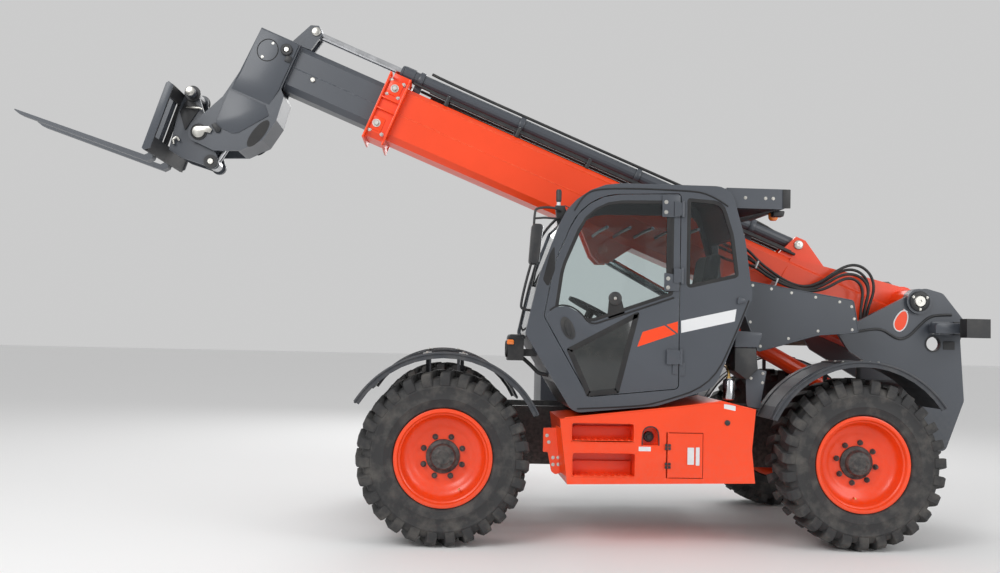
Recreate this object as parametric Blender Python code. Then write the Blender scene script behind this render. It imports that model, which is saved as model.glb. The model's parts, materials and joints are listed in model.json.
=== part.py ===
"""Telehandler: a four-wheel-steer telescopic handler with a two-stage boom, quick hitch and pallet forks.

Frame: +Z up, forward is -X, the machine's left (cab) side is -Y.  Everything is laid out from the
front axle (x = 0, ground z = 0); the last step shifts the machine empty so that the origin is the
middle of the bounding box's foot.  Boom pieces are laid out in the boom's own axes, where u runs
forward from the boom pivot (local -X) and n runs up, square to the boom (local +Z).
"""
import math

import bmesh
import bpy
from mathutils import Matrix, Vector

for old in list(bpy.data.objects):
    bpy.data.objects.remove(old, do_unlink=True)

# ------------------------------------------------------------------ driving dimensions (metres)
SEAT_GAP = 0.0003            # between pieces that touch
RUNNING_GAP = 0.006          # between pieces that move past each other
PIN_GAP = 0.0009             # round a pin or a rod
PIN_SIDES = 24

WHEELBASE = 2.88
TRACK = 1.87                 # between the wheels' middles
TYRE_RADIUS = 0.59
WHEEL_SIDES = 28             # flats round a wheel, one of them on the ground
TYRE_WIDTH = 0.41
RIM_RADIUS = 0.305           # bead seat
FLANGE_RADIUS = 0.335
RIM_WIDTH = 0.33
HUB_RADIUS = 0.150
HUB_RECESS = 0.060           # hub cap behind the outer flange
KINGPIN_INSET = 0.215        # wheel's middle to kingpin axis
KINGPIN_RADIUS = 0.028
SWIVEL_HALF = 0.115          # half height of the swivel hub
YOKE_HALF = 0.165            # half height over the axle's yoke
HUB_BACK = 0.045             # hub's inner face from the wheel's middle
SPINDLE_RADIUS = 0.050
SPINDLE_END = 0.010          # spindle's end past the wheel's middle
AXLE_SEAT = 0.80             # frame's saddle plate over each axle
FENDER_RADIUS = 0.705
FENDER_OUTER = 1.105         # from the machine's middle
FENDER_SKIN = 0.014

RAIL_OUTER = 0.355           # half width over the frame rails
RAIL_THICKNESS = 0.05
RAIL_BOTTOM = 0.47
RAIL_TOP = 0.90
FRAME_FRONT = -0.47
FRAME_REAR = 3.80
TOWER_OUTER = 0.42           # half width over the rear side plates
TOWER_THICKNESS = 0.035

BOOM_ANGLE = 22.15           # degrees above level, as parked
PIVOT_X = 3.58
PIVOT_Z = 1.75
PIVOT_PIN_RADIUS = 0.045
OUTER_HALF_WIDTH = 0.17
OUTER_TOP = -0.033
OUTER_BOTTOM = -0.466
OUTER_WALL = 0.018
OUTER_FRONT = 4.36
INNER_HALF_WIDTH = 0.143
INNER_TOP = -0.060
INNER_BOTTOM = -0.425
INNER_REAR = 1.55
INNER_FRONT = 5.09
INNER_WALL = 0.014
CORNER_CUT = 0.045           # chamfer on the boom's long edges
HEAD_HALF_WIDTH = 0.19
HEAD_PLATE = 0.028
HITCH_HALF_WIDTH = 0.155
HITCH_PLATE = 0.030
CARRIAGE_U = 5.517           # carriage pivot in the boom's axes
CARRIAGE_N = -0.993
CARRIAGE_PIN_RADIUS = 0.030
FORK_TILT = 18.0             # degrees the tips stand up, as parked

EXTENSION_N = 0.098          # extension cylinder's line over the boom
EXTENSION_REAR_PIN = 0.917
EXTENSION_GLAND = 4.309
EXTENSION_FRONT_PIN = 5.048
EXTENSION_RADIUS = 0.052
EXTENSION_ROD_RADIUS = 0.030

LIFT_BASE_X = 3.33
LIFT_BASE_Z = 0.92
LIFT_LUG_U = 2.32
LIFT_LUG_N = -0.605
LIFT_PIN_RADIUS = 0.035
LIFT_BARREL_LENGTH = 1.64
LIFT_RADIUS = 0.065
LIFT_ROD_RADIUS = 0.036
LIFT_ROD_LENGTH = 1.46
LIFT_EYE_RADIUS = 0.045

TILT_BASE_U = 5.185
TILT_BASE_N = -0.160
TILT_BARREL_LENGTH = 0.60
TILT_RADIUS = 0.046
TILT_ROD_RADIUS = 0.026
TILT_ROD_LENGTH = 0.56
TILT_EYE_RADIUS = 0.045
EAR_FORWARD = -0.153         # tilt ear from the carriage pivot, in the carriage's axes
EAR_UP = -0.180

CARRIAGE_HALF_WIDTH = 0.50
CARRIAGE_FACE = 0.235        # fork shanks stand on this face
FORK_SPREAD = 0.44           # between the forks' middles
FORK_WIDTH = 0.10
FORK_THICKNESS = 0.040
FORK_LENGTH = 1.07
FORK_BOTTOM = -0.345

CAB_OUTER = 1.05             # cab's left face from the machine's middle
CAB_INNER = 0.245            # cab's right face, next to the boom
CAB_WALL = 0.045
CAB_ROOF = 2.489
DOOR_HINGE_X = 1.613
DOOR_THICKNESS = 0.040
GLASS = 0.006
BOX_OUTER = 1.10             # step box's outer face
BOX_INNER = 0.45

ENGINE_INNER = 0.44
ENGINE_OUTER = 1.04
ENGINE_FRONT = 0.80
ENGINE_REAR = 2.10
ENGINE_BOTTOM = 0.52
ENGINE_SPLIT = 1.08
ENGINE_TOP = 1.44
SHEET = 0.012

ORANGE = (0.84, 0.085, 0.012)
SLATE = (0.085, 0.093, 0.113)
BLACK = (0.018, 0.018, 0.020)
STEEL = (0.55, 0.56, 0.58)
RUBBER = (0.035, 0.035, 0.037)


# ------------------------------------------------------------------ workshop: materials and solids
def paint(name, colour, roughness, metallic=0.0, alpha=1.0):
    material = bpy.data.materials.new(name)
    material.use_nodes = True
    shader = material.node_tree.nodes["Principled BSDF"]
    shader.inputs["Base Color"].default_value = (*colour, 1.0)
    shader.inputs["Roughness"].default_value = roughness
    shader.inputs["Metallic"].default_value = metallic
    shader.inputs["Alpha"].default_value = alpha
    material.diffuse_color = (*colour, alpha)
    return material


def empty(name, parent, location=(0, 0, 0), turn=(0, 0, 0)):
    """A joint axis or a group, turned by degrees."""
    axis = bpy.data.objects.new(name, None)
    bpy.context.scene.collection.objects.link(axis)
    axis.parent = parent
    axis.location = location
    axis.rotation_euler = [math.radians(angle) for angle in turn]
    return axis


def mesh_of(bm):
    bmesh.ops.recalc_face_normals(bm, faces=bm.faces)
    mesh = bpy.data.meshes.new("solid")
    bm.to_mesh(mesh)
    bm.free()
    return mesh


def prism(outline, y0, y1):
    """A side-view outline of (x, z) points, as thick as from y0 to y1."""
    bm = bmesh.new()
    face = bm.faces.new([bm.verts.new((x, y0, z)) for x, z in outline])
    pushed = bmesh.ops.extrude_face_region(bm, geom=[face])
    moved = [item for item in pushed["geom"] if isinstance(item, bmesh.types.BMVert)]
    bmesh.ops.translate(bm, verts=moved, vec=(0, y1 - y0, 0))
    return mesh_of(bm)


def box(x0, x1, y0, y1, z0, z1):
    return prism([(x0, z0), (x1, z0), (x1, z1), (x0, z1)], y0, y1)


def bar(start, end, radius, sides=12, end_radius=None):
    """A round bar, or a cone, from one point to another."""
    start, end = Vector(start), Vector(end)
    run = end - start
    bm = bmesh.new()
    turn = run.to_track_quat("Z", "Y").to_matrix().to_4x4()
    place = Matrix.Translation((start + end) / 2) @ turn
    tip = radius if end_radius is None else end_radius
    bmesh.ops.create_cone(bm, cap_ends=True, segments=sides, radius1=radius, radius2=tip,
                          depth=run.length, matrix=place)
    return mesh_of(bm)


def axle_bar(x, z, y0, y1, radius, sides=16):
    """A round bar across the machine."""
    return bar((x, y0, z), (x, y1, z), radius, sides)


def turned(profile, sides=WHEEL_SIDES):
    """A closed (radius, y) profile turned about the Y axis, with a flat at the bottom."""
    bm = bmesh.new()
    half = math.pi / sides
    ring = [bm.verts.new((radius * math.cos(half), y, radius * math.sin(half))) for radius, y in profile]
    edges = [bm.edges.new((ring[i - 1], ring[i])) for i in range(len(ring))]
    edges = [edge for edge in edges if edge.verts[0].co.x + edge.verts[1].co.x > 1e-6]
    bmesh.ops.spin(bm, geom=ring + edges, cent=(0, 0, 0), axis=(0, 1, 0), angle=2 * math.pi,
                   steps=sides, use_merge=True)
    bmesh.ops.remove_doubles(bm, verts=bm.verts, dist=1e-5)
    loose = [edge for edge in bm.edges if not edge.link_faces]
    bmesh.ops.delete(bm, geom=loose, context="EDGES")
    return mesh_of(bm)


def hose(route, radius, sides=10):
    """A round tube along a route of points in one side-view plane, its ends capped."""
    bm = bmesh.new()
    rings = []
    for i, here in enumerate(route):
        run = (Vector(route[min(i + 1, len(route) - 1)]) - Vector(route[max(i - 1, 0)])).normalized()
        across = Vector((0, 1, 0))
        over = run.cross(across)
        rings.append([bm.verts.new(Vector(here) + radius * (math.cos(a) * across + math.sin(a) * over))
                      for a in (2 * math.pi * side / sides for side in range(sides))])
    for back, front in zip(rings, rings[1:]):
        for side in range(sides):
            bm.faces.new((back[side - 1], back[side], front[side], front[side - 1]))
    bm.faces.new(rings[0])
    bm.faces.new(rings[-1])
    return mesh_of(bm)


def arc(centre, radius, start, end, steps=8):
    """Points on a circle between two angles in degrees, measured from +x towards +z."""
    angles = [math.radians(start + (end - start) * i / steps) for i in range(steps + 1)]
    return [(centre[0] + radius * math.cos(a), centre[1] + radius * math.sin(a)) for a in angles]


def rounded(corners, steps=4):
    """A closed outline of (x, z, radius) corners, each rounded by an arc of its radius."""
    outline = []
    for i, (x, z, radius) in enumerate(corners):
        here = Vector((x, z))
        back = (Vector(corners[i - 1][:2]) - here).normalized()
        ahead = (Vector(corners[(i + 1) % len(corners)][:2]) - here).normalized()
        if radius < 1e-6:
            outline.append((x, z))
            continue
        half = back.angle(ahead) / 2
        middle = here + (back + ahead).normalized() * (radius / math.sin(half))
        first = here + back * (radius / math.tan(half)) - middle
        last = here + ahead * (radius / math.tan(half)) - middle
        for step in range(steps + 1):
            point = first.slerp(last, step / steps).normalized() * radius
            outline.append(tuple(middle + point))
    return outline


def grown(outline, amount):
    """The outline moved outwards by an amount, or inwards by a negative one."""
    area = sum(a[0] * b[1] - b[0] * a[1] for a, b in zip(outline, outline[1:] + outline[:1]))
    side = 1.0 if area > 0 else -1.0
    result = []
    for i, point in enumerate(outline):
        here = Vector(point)
        before = (here - Vector(outline[i - 1])).normalized()
        after = (Vector(outline[(i + 1) % len(outline)]) - here).normalized()
        normal = Vector((before.y + after.y, -before.x - after.x)).normalized() * side
        share = max(0.5, normal.dot(Vector((after.y, -after.x)) * side))
        result.append(tuple(here + normal * (amount / share)))
    return result


def place(name, mesh, parent, guide=False):
    thing = bpy.data.objects.new(name, mesh)
    bpy.context.scene.collection.objects.link(thing)
    thing.parent = parent
    if guide:
        thing.hide_render = True
        thing.display_type = "WIRE"
    return thing


def part(name, parent, finish, solids, cuts=(), within=(), late=()):
    """One named sub-part: solids welded together, trimmed, openings cut, and pins welded in last."""
    thing = place(name, solids[0], parent)
    tools = ([("UNION", mesh) for mesh in solids[1:]] + [("INTERSECT", mesh) for mesh in within]
             + [("DIFFERENCE", mesh) for mesh in cuts] + [("UNION", mesh) for mesh in late])
    for number, (operation, mesh) in enumerate(tools):
        tool = place(f"guide_{name}_{number}", mesh, parent, guide=True)
        step = thing.modifiers.new(f"{operation.lower()}_{number}", "BOOLEAN")
        step.operation = operation
        step.object = tool
        step.solver = "EXACT"
    thing.data.materials.append(finish)
    thing.data.shade_smooth()
    thing.data.set_sharp_from_angle(angle=math.radians(30))
    return thing


orange_paint = paint("orange_paint", ORANGE, 0.35)
slate_paint = paint("slate_paint", SLATE, 0.45)
black_paint = paint("black_paint", BLACK, 0.5)
bare_steel = paint("bare_steel", STEEL, 0.25, metallic=1.0)
tyre_rubber = paint("tyre_rubber", RUBBER, 0.85)
black_plastic = paint("black_plastic", (0.03, 0.03, 0.032), 0.6)
tinted_glass = paint("tinted_glass", (0.30, 0.33, 0.34), 0.05, alpha=0.35)
seat_cloth = paint("seat_cloth", (0.05, 0.05, 0.055), 0.9)
lamp_lens = paint("lamp_lens", (0.85, 0.80, 0.72), 0.15)
exhaust_steel = paint("exhaust_steel", (0.20, 0.16, 0.14), 0.55, metallic=0.8)

machine = empty("machine", None)


# ------------------------------------------------------------------ wheels, knuckles and axles
def wheel_solids(side):
    """Rim with its hub, and the tyre, about the wheel's middle; side is -1 left, +1 right."""
    flange = RIM_WIDTH / 2
    cap = flange - HUB_RECESS
    disc = 0.010
    lip = 0.014
    barrel = RIM_RADIUS - 0.014
    rim = [(0, cap), (HUB_RADIUS * 0.92, cap), (HUB_RADIUS, cap - 0.020), (HUB_RADIUS, disc),
           (barrel - 0.03, disc), (barrel, disc + 0.03), (barrel, flange - 0.02),
           (FLANGE_RADIUS - lip, flange), (FLANGE_RADIUS, flange - lip),
           (RIM_RADIUS, flange - 2 * lip), (RIM_RADIUS, 2 * lip - flange),
           (FLANGE_RADIUS, lip - flange), (FLANGE_RADIUS - lip, -flange), (barrel, 0.02 - flange),
           (barrel, -disc), (HUB_RADIUS * 0.8, -disc), (HUB_RADIUS * 0.8, -HUB_BACK),
           (SPINDLE_RADIUS + PIN_GAP, -HUB_BACK), (SPINDLE_RADIUS + PIN_GAP, SPINDLE_END + RUNNING_GAP),
           (0, SPINDLE_END + RUNNING_GAP)]
    half = TYRE_WIDTH / 2
    seat = RIM_RADIUS + SEAT_GAP
    bead = flange - 2 * lip - 0.004
    tyre = [(seat, -bead), (seat, bead), (FLANGE_RADIUS + 0.012, bead + 0.008),
            (0.44, half), (0.53, half - 0.010), (TYRE_RADIUS, half - 0.045),
            (TYRE_RADIUS, 0.045 - half), (0.53, 0.010 - half), (0.44, -half),
            (FLANGE_RADIUS + 0.012, -bead - 0.008)]
    return ([(radius, side * y) for radius, y in rim], [(radius, side * y) for radius, y in tyre])


def knuckle_parts(tag, parent, side):
    """Swivel hub about the kingpin, with kingpin stubs, spindle and steering arm; outwards is side * y."""
    hub_end = KINGPIN_INSET - HUB_BACK - RUNNING_GAP
    solids = [bar((0, 0, -SWIVEL_HALF), (0, 0, SWIVEL_HALF), 0.085, 16),
              bar((0, 0, -YOKE_HALF), (0, 0, YOKE_HALF), KINGPIN_RADIUS, 16),
              axle_bar(0, 0, 0, side * hub_end, 0.110, 20),
              axle_bar(0, 0, 0, side * (KINGPIN_INSET + SPINDLE_END), SPINDLE_RADIUS, PIN_SIDES),
              box(0, 0.20, side * 0.01, side * -0.05, -0.055, -0.02),
              box(-0.109, 0.109, side * 0.005, side * -0.03, -0.04, 0.04),
              bar((0.18, -side * 0.02, -0.06), (0.18, -side * 0.02, 0.0), 0.04)]
    return part(f"knuckle_{tag}", parent, slate_paint, solids)


def fender_part(tag, parent, side, first, last):
    """Mudguard over the tyre, carried by a bar from the knuckle's flat; angles in degrees."""
    inner, outer = -0.030, FENDER_OUTER - (TRACK / 2 - KINGPIN_INSET)
    shell = arc((0, 0), FENDER_RADIUS, first, last, 16)
    lining = arc((0, 0), FENDER_RADIUS - FENDER_SKIN, last, first, 16)
    lip = (arc((0, 0), FENDER_RADIUS - 0.4 * FENDER_SKIN, first + 0.5, last - 0.5, 15)
           + arc((0, 0), FENDER_RADIUS - 0.035, last - 0.5, first + 0.5, 15))
    solids = [prism(shell + lining, side * inner, side * outer),
              prism(lip, side * (outer - FENDER_SKIN), side * (outer - 0.001))]
    bracket_x, bracket_width = 0.109, 0.026
    top = math.sqrt(FENDER_RADIUS ** 2 - (bracket_x + bracket_width) ** 2) - 0.4 * FENDER_SKIN
    for x in (-bracket_x - bracket_width, bracket_x + SEAT_GAP):
        solids.append(box(x, x + bracket_width, side * (inner + 0.003), side * (inner + 0.025), -0.015, top))
    notches = []
    for end, low_end in ((1, first < 32), (-1, last > 148)):
        if low_end:
            notches.append(box(end * 0.600, end * 0.750, side * (inner - 0.01), side * 0.012, 0.15, 0.45))
    return part(f"fender_{tag}", parent, black_plastic, solids, notches)


wheels = {}
for end, axle_x, first, last in (("front", 0.0, 25.0, 149.0), ("rear", WHEELBASE, 34.0, 155.0)):
    for hand, side in (("left", -1), ("right", 1)):
        tag = f"{end}_{hand}"
        kingpin = empty(f"axis_steer_{tag}", machine,
                        (axle_x, side * (TRACK / 2 - KINGPIN_INSET), TYRE_RADIUS))
        knuckle_parts(tag, kingpin, side)
        fender_part(tag, kingpin, side, first, last)
        hub = empty(f"axis_wheel_{tag}", kingpin, (0, side * KINGPIN_INSET, 0))
        rim_profile, tyre_profile = wheel_solids(side)
        part(f"rim_{tag}", hub, orange_paint, [turned(rim_profile)])
        part(f"tyre_{tag}", hub, tyre_rubber, [turned(tyre_profile)])

for end, axle_x in (("front", 0.0), ("rear", WHEELBASE)):
    kingpin_y = TRACK / 2 - KINGPIN_INSET
    carrier = empty(f"axle_{end}_place", machine, (axle_x, 0, TYRE_RADIUS))
    beam = [axle_bar(0, 0, -(kingpin_y - 0.14), kingpin_y - 0.14, 0.085, 16),
            bar((-0.17, 0, 0), (0.17, 0, 0), 0.125, 16),
            axle_bar(0, 0, -0.16, 0.16, 0.140, 16),
            box(-0.06, 0.06, -0.20, 0.20, 0.0, AXLE_SEAT - SEAT_GAP - TYRE_RADIUS)]
    bores = []
    for side in (-1, 1):
        web_in, web_out = kingpin_y - 0.17, kingpin_y - 0.12
        beam.append(box(-0.08, 0.08, side * web_in, side * web_out, -YOKE_HALF, YOKE_HALF))
        pin_y = side * kingpin_y
        for z in (-1, 1):
            low = SWIVEL_HALF + RUNNING_GAP
            beam.append(box(-0.064, 0.064, side * (web_in + 0.01), pin_y, z * low, z * YOKE_HALF))
            beam.append(bar((0, pin_y, z * low), (0, pin_y, z * (YOKE_HALF + 0.008)), 0.065))
            bores.append(bar((0, pin_y, z * (low - 0.02)), (0, pin_y, z * (YOKE_HALF + SEAT_GAP)),
                             KINGPIN_RADIUS + PIN_GAP, 16))
    part(f"axle_{end}", carrier, slate_paint, beam, bores)

# ------------------------------------------------------------------ frame, towers and tail
cab_corners = [(0.875, 0.905, 0.10), (0.540, 1.440, 0.05), (0.625, 1.83, 0.40), (0.865, CAB_ROOF, 0.46),
               (1.95, CAB_ROOF, 0.14), (2.055, 2.12, 0.30), (2.110, 1.73, 0.10), (1.855, 1.095, 0.16),
               (1.45, 0.962, 0.30)]
cab_outline = rounded(cab_corners, 5)

rail_inner = RAIL_OUTER - RAIL_THICKNESS
arch = 0.20
rail_outline = [(FRAME_FRONT, 0.62), (FRAME_FRONT + 0.16, RAIL_BOTTOM), (FRAME_REAR - 0.15, RAIL_BOTTOM),
                (FRAME_REAR, 0.60), (FRAME_REAR, RAIL_TOP), (FRAME_FRONT + 0.06, RAIL_TOP),
                (FRAME_FRONT, RAIL_TOP - 0.08)]
deck_front, deck_rear = LIFT_BASE_X - 0.20, LIFT_BASE_X + 0.20
clevis_outer, clevis_inner = 0.115, 0.085
deck_top = LIFT_BASE_Z - 0.13
clevis = [(deck_rear - 0.02, deck_top - 0.01)]
clevis += arc((LIFT_BASE_X, LIFT_BASE_Z), 0.085, -10, 190, 12)
clevis += [(deck_front + 0.02, deck_top - 0.01)]
frame_solids = [prism(rail_outline, -RAIL_OUTER, -rail_inner), prism(rail_outline, rail_inner, RAIL_OUTER),
                box(FRAME_FRONT + 0.02, FRAME_FRONT + 0.05, -rail_inner - 0.01, rail_inner + 0.01,
                    0.60, RAIL_TOP - 0.02),
                box(-0.09, 0.09, -rail_inner - 0.01, rail_inner + 0.01, AXLE_SEAT, AXLE_SEAT + 0.06),
                box(0.95, 1.01, -rail_inner - 0.01, rail_inner + 0.01, 0.50, 0.82),
                box(2.05, 2.11, -rail_inner - 0.01, rail_inner + 0.01, 0.50, 0.82),
                box(WHEELBASE - 0.09, WHEELBASE + 0.09, -rail_inner - 0.01, rail_inner + 0.01, AXLE_SEAT,
                    AXLE_SEAT + 0.06),
                box(deck_front, deck_rear, -rail_inner - 0.01, rail_inner + 0.01, deck_top - 0.05, deck_top),
                box(FRAME_REAR - 0.06, FRAME_REAR - 0.02, -rail_inner - 0.01, rail_inner + 0.01, 0.62,
                    RAIL_TOP - 0.02)]
for side in (-1, 1):
    frame_solids.append(prism(clevis, side * clevis_inner, side * clevis_outer))
frame_solids.append(axle_bar(LIFT_BASE_X, LIFT_BASE_Z, -clevis_outer - 0.015, clevis_outer + 0.015,
                             LIFT_PIN_RADIUS, 20))
tower_inner = TOWER_OUTER - TOWER_THICKNESS - SEAT_GAP
ballast = rounded([(3.42, RAIL_TOP - 0.03, 0), (3.88, RAIL_TOP - 0.03, 0), (3.88, 1.12, 0.05), (3.50, 1.12, 0.05)])
frame_solids.append(prism(ballast, -tower_inner, tower_inner))
hitch_x = FRAME_REAR + 0.12
frame_solids += [box(FRAME_REAR - 0.03, FRAME_REAR + 0.03, -0.16, 0.16, 0.60, 0.88),
                 box(FRAME_REAR + 0.02, FRAME_REAR + 0.17, -0.07, 0.07, 0.79, 0.82),
                 box(FRAME_REAR + 0.02, FRAME_REAR + 0.17, -0.07, 0.07, 0.66, 0.69),
                 bar((hitch_x, 0, 0.63), (hitch_x, 0, 0.87), 0.022)]
for x in (0.98, 1.55):
    frame_solids.append(box(x, x + 0.09, -RAIL_OUTER, -rail_inner, RAIL_TOP - 0.02, 1.08))
frame_cuts = [axle_bar(x, TYRE_RADIUS, -0.6, 0.6, arch, 16) for x in (0.0, WHEELBASE)]
frame_cuts.append(prism(grown(cab_outline, SEAT_GAP), -CAB_OUTER - 0.1, -CAB_INNER + 0.05))
part("main_frame", machine, black_paint, frame_solids, frame_cuts)

tower_outline = rounded([(2.955, 1.505, 0.02), (3.63, 1.855, 0.10), (3.78, 1.815, 0.06), (3.955, 1.60, 0.04),
                         (3.915, 1.46, 0), (3.945, 1.00, 0.05), (3.80, 0.62, 0.05), (3.62, 0.62, 0.02),
                         (3.62, 1.03, 0.08), (3.05, 1.36, 0.05)])
for hand, side in (("left", -1), ("right", 1)):
    inner = RAIL_OUTER + SEAT_GAP
    solids = [prism(tower_outline, side * (TOWER_OUTER - TOWER_THICKNESS), side * TOWER_OUTER),
              axle_bar(PIVOT_X, PIVOT_Z, side * (TOWER_OUTER - TOWER_THICKNESS - 0.02),
                       side * (TOWER_OUTER + 0.03), 0.095, 32),
              box(3.63, 3.78, side * inner, side * (TOWER_OUTER - 0.01), 0.64, 0.86)]
    cuts = [axle_bar(3.70, 1.43, side * 0.3, side * 0.5, 0.055, 16)]
    if side < 0:
        solids.append(axle_bar(PIVOT_X, PIVOT_Z, -TOWER_OUTER, TOWER_OUTER + 0.04, PIVOT_PIN_RADIUS, PIN_SIDES))
    else:
        cuts.append(axle_bar(PIVOT_X, PIVOT_Z, 0.3, 0.5, PIVOT_PIN_RADIUS + SEAT_GAP, PIN_SIDES))
    part(f"tower_{hand}", machine, slate_paint, solids, cuts)
lamp_bar = [box(3.955, 3.985, -0.68, 0.68, 1.53, 1.57)]
for side in (-1, 1):
    lamp_bar.append(box(3.82, 4.00, side * 0.60, side * 0.70, 1.48, 1.62))
    start = TOWER_OUTER + SEAT_GAP
    lamp_bar.append(box(3.86, 3.985, side * start, side * (start + 0.012), 1.50, 1.60))
part("tail_lamp_bar", machine, black_plastic, lamp_bar)

part("rear_cover_left", machine, slate_paint,
     [prism(rounded([(2.183, 1.860, 0.02), (2.985, 1.735, 0.02), (3.025, 1.50, 0.01), (2.72, 1.475, 0),
                     (2.275, 1.345, 0.02), (2.156, 1.66, 0)]),
            -0.66, -TOWER_OUTER - SEAT_GAP)])

# ------------------------------------------------------------------ step box on the left, with its hatch
box_outline = [(0.783, 0.868), (0.839, 0.430), (2.126, 0.453), (2.102, 0.676), (2.127, 0.955),
               (1.890, 1.010), (1.70, 0.975)]
box_solids = [prism(box_outline, -BOX_OUTER, -BOX_INNER),
              box(0.95, 1.01, -BOX_INNER - 0.01, -RAIL_OUTER - SEAT_GAP, 0.52, 0.60),
              box(1.90, 1.96, -BOX_INNER - 0.01, -RAIL_OUTER - SEAT_GAP, 0.52, 0.60)]
hatch_x0, hatch_x1, hatch_z0, hatch_z1 = 1.51, 1.765, 0.48, 0.79
box_cuts = [box(0.862, 1.290, -1.2, -0.93, 0.715, 0.845), box(0.870, 1.300, -1.2, -0.93, 0.482, 0.645),
            prism(rounded([(1.345, 0.70, 0), (1.345, 0.83, 0.05), (1.46, 0.83, 0.05), (1.46, 0.70, 0)]),
                  -1.2, -1.02),
            box(hatch_x0, hatch_x1, -1.2, -BOX_OUTER + 0.03, hatch_z0, hatch_z1),
            box(hatch_x0 + 0.03, hatch_x1 - 0.03, -1.2, -0.85, hatch_z0 + 0.03, hatch_z1 - 0.03)]
part("step_box", machine, orange_paint, box_solids, box_cuts)
hatch_edge, hatch_half = 0.014, 0.007
hatch_axis = empty("axis_hatch", machine, (hatch_x0 + hatch_edge, -BOX_OUTER + 0.001, 0))
part("service_hatch", hatch_axis, orange_paint,
     [box(0, hatch_x1 - hatch_x0 - hatch_edge - RUNNING_GAP, -hatch_half, hatch_half, hatch_z0 + RUNNING_GAP,
          hatch_z1 - RUNNING_GAP),
      bar((0.0005, 0, hatch_z0 + SEAT_GAP), (0.0005, 0, hatch_z1 - SEAT_GAP), 0.005)])

# ------------------------------------------------------------------ cab
door_corners = [(0.982, 1.02, 0.04), (0.668, 1.56, 0.06), (0.735, 1.93, 0.50), (0.93, 2.40, 0.38),
                (1.598, 2.425, 0.02), (1.598, 1.085, 0.03)]
door_outline = rounded(door_corners, 6)
window_corners = [(0.735, 1.60, 0.03), (0.775, 1.90, 0.5), (0.97, 2.365, 0.34), (1.555, 2.38, 0.02),
                  (1.555, 1.725, 0.03), (0.98, 1.52, 0.15)]
lower_corners = [(1.03, 1.085, 0.03), (0.93, 1.25, 0.03), (1.02, 1.46, 0.05), (1.50, 1.62, 0.03),
                 (1.50, 1.14, 0.03)]
quarter_corners = [(1.645, 1.77, 0.03), (1.645, 2.40, 0.02), (1.90, 2.385, 0.10), (1.975, 2.15, 0.2),
                   (2.015, 1.86, 0.03)]
left_out, left_in = -CAB_OUTER, -CAB_OUTER + CAB_WALL
right_in, right_out = -CAB_INNER - CAB_WALL, -CAB_INNER


def pane(corners, y_out, depth=GLASS):
    """A sheet of glass let into an opening of the same corners."""
    return prism(grown(rounded(corners), -SEAT_GAP), y_out, y_out + depth)


part("cab_side_left", machine, slate_paint, [prism(cab_outline, left_out, left_in)],
     [prism(grown(door_outline, RUNNING_GAP), left_out - 0.1, left_in + 0.1),
      prism(rounded(quarter_corners), left_out - 0.1, left_in + 0.1)])
right_window = [(0.76, 1.62, 0.03), (0.80, 1.93, 0.5), (1.00, 2.36, 0.34), (1.90, 2.37, 0.10),
                (1.99, 2.05, 0.2), (2.02, 1.78, 0.05), (1.80, 1.45, 0.05), (0.95, 1.40, 0.05)]
part("cab_side_right", machine, slate_paint, [prism(cab_outline, right_in, right_out)],
     [prism(rounded(right_window), right_in - 0.1, right_out + 0.1)])
part("quarter_glass", machine, tinted_glass, [pane(quarter_corners, left_out + 0.01)])
part("right_glass", machine, tinted_glass, [pane(right_window, right_out - 0.016)])

across_0, across_1 = left_in + SEAT_GAP, right_in - SEAT_GAP


def cab_panel(name, finish, window, inset=0.0, wall=CAB_WALL, cuts=()):
    """A curved panel of the cab's skin: the skin's band cut to a side-view window."""
    x0, x1, z0, z1 = window
    outer = grown(cab_outline, -inset)
    solid = prism(outer, across_0, across_1)
    hollow = prism(grown(cab_outline, -inset - wall), across_0 - 0.1, across_1 + 0.1)
    frame = place(f"guide_{name}_window", box(x0, x1, -1.3, 0.1, z0, z1), machine, guide=True)
    panel = place(name, solid, machine)
    for operation, tool in (("DIFFERENCE", place(f"guide_{name}_hollow", hollow, machine, guide=True)),
                            ("INTERSECT", frame)):
        step = panel.modifiers.new(operation.lower(), "BOOLEAN")
        step.operation, step.object, step.solver = operation, tool, "EXACT"
    for number, mesh in enumerate(cuts):
        step = panel.modifiers.new(f"cut_{number}", "BOOLEAN")
        step.operation, step.solver = "DIFFERENCE", "EXACT"
        step.object = place(f"guide_{name}_{number}", mesh, machine, guide=True)
    panel.data.materials.append(finish)
    panel.data.shade_smooth()
    panel.data.set_sharp_from_angle(angle=math.radians(30))
    return panel


screen_low, screen_high, pan_top = 1.42, 2.20, 1.11
split = SEAT_GAP / 2
cab_panel("cab_front", slate_paint, (0.3, 1.0, pan_top + split, screen_low - split))
cab_panel("windscreen", tinted_glass, (0.3, 0.95, screen_low + split, screen_high - split), 0.012, 0.008)
cab_panel("cab_roof", slate_paint, (0.6, 2.3, screen_high + split, 2.6))
cab_panel("cab_rear", slate_paint, (1.80, 2.3, pan_top + split, screen_high - split), 0.0, CAB_WALL,
          [box(1.9, 2.3, across_0 + 0.06, across_1 - 0.06, 1.60, 2.14)])
part("rear_glass", machine, tinted_glass,
     [prism([(2.060, 1.605), (2.068, 1.605), (2.062, 2.135), (2.054, 2.135)], across_0 + 0.0603,
            across_1 - 0.0603)])
cab_floor = cab_panel("cab_floor", black_paint, (0.3, 2.3, 0.8, pan_top - split))
plinth_top = 1.36
foot = [(1.05, 0.95), (1.35, 0.98), (1.72, 1.075)]
console = prism(foot + [(1.72, 1.42), (1.05, 1.42)], right_in - 0.12, right_in - 0.01)
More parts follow.
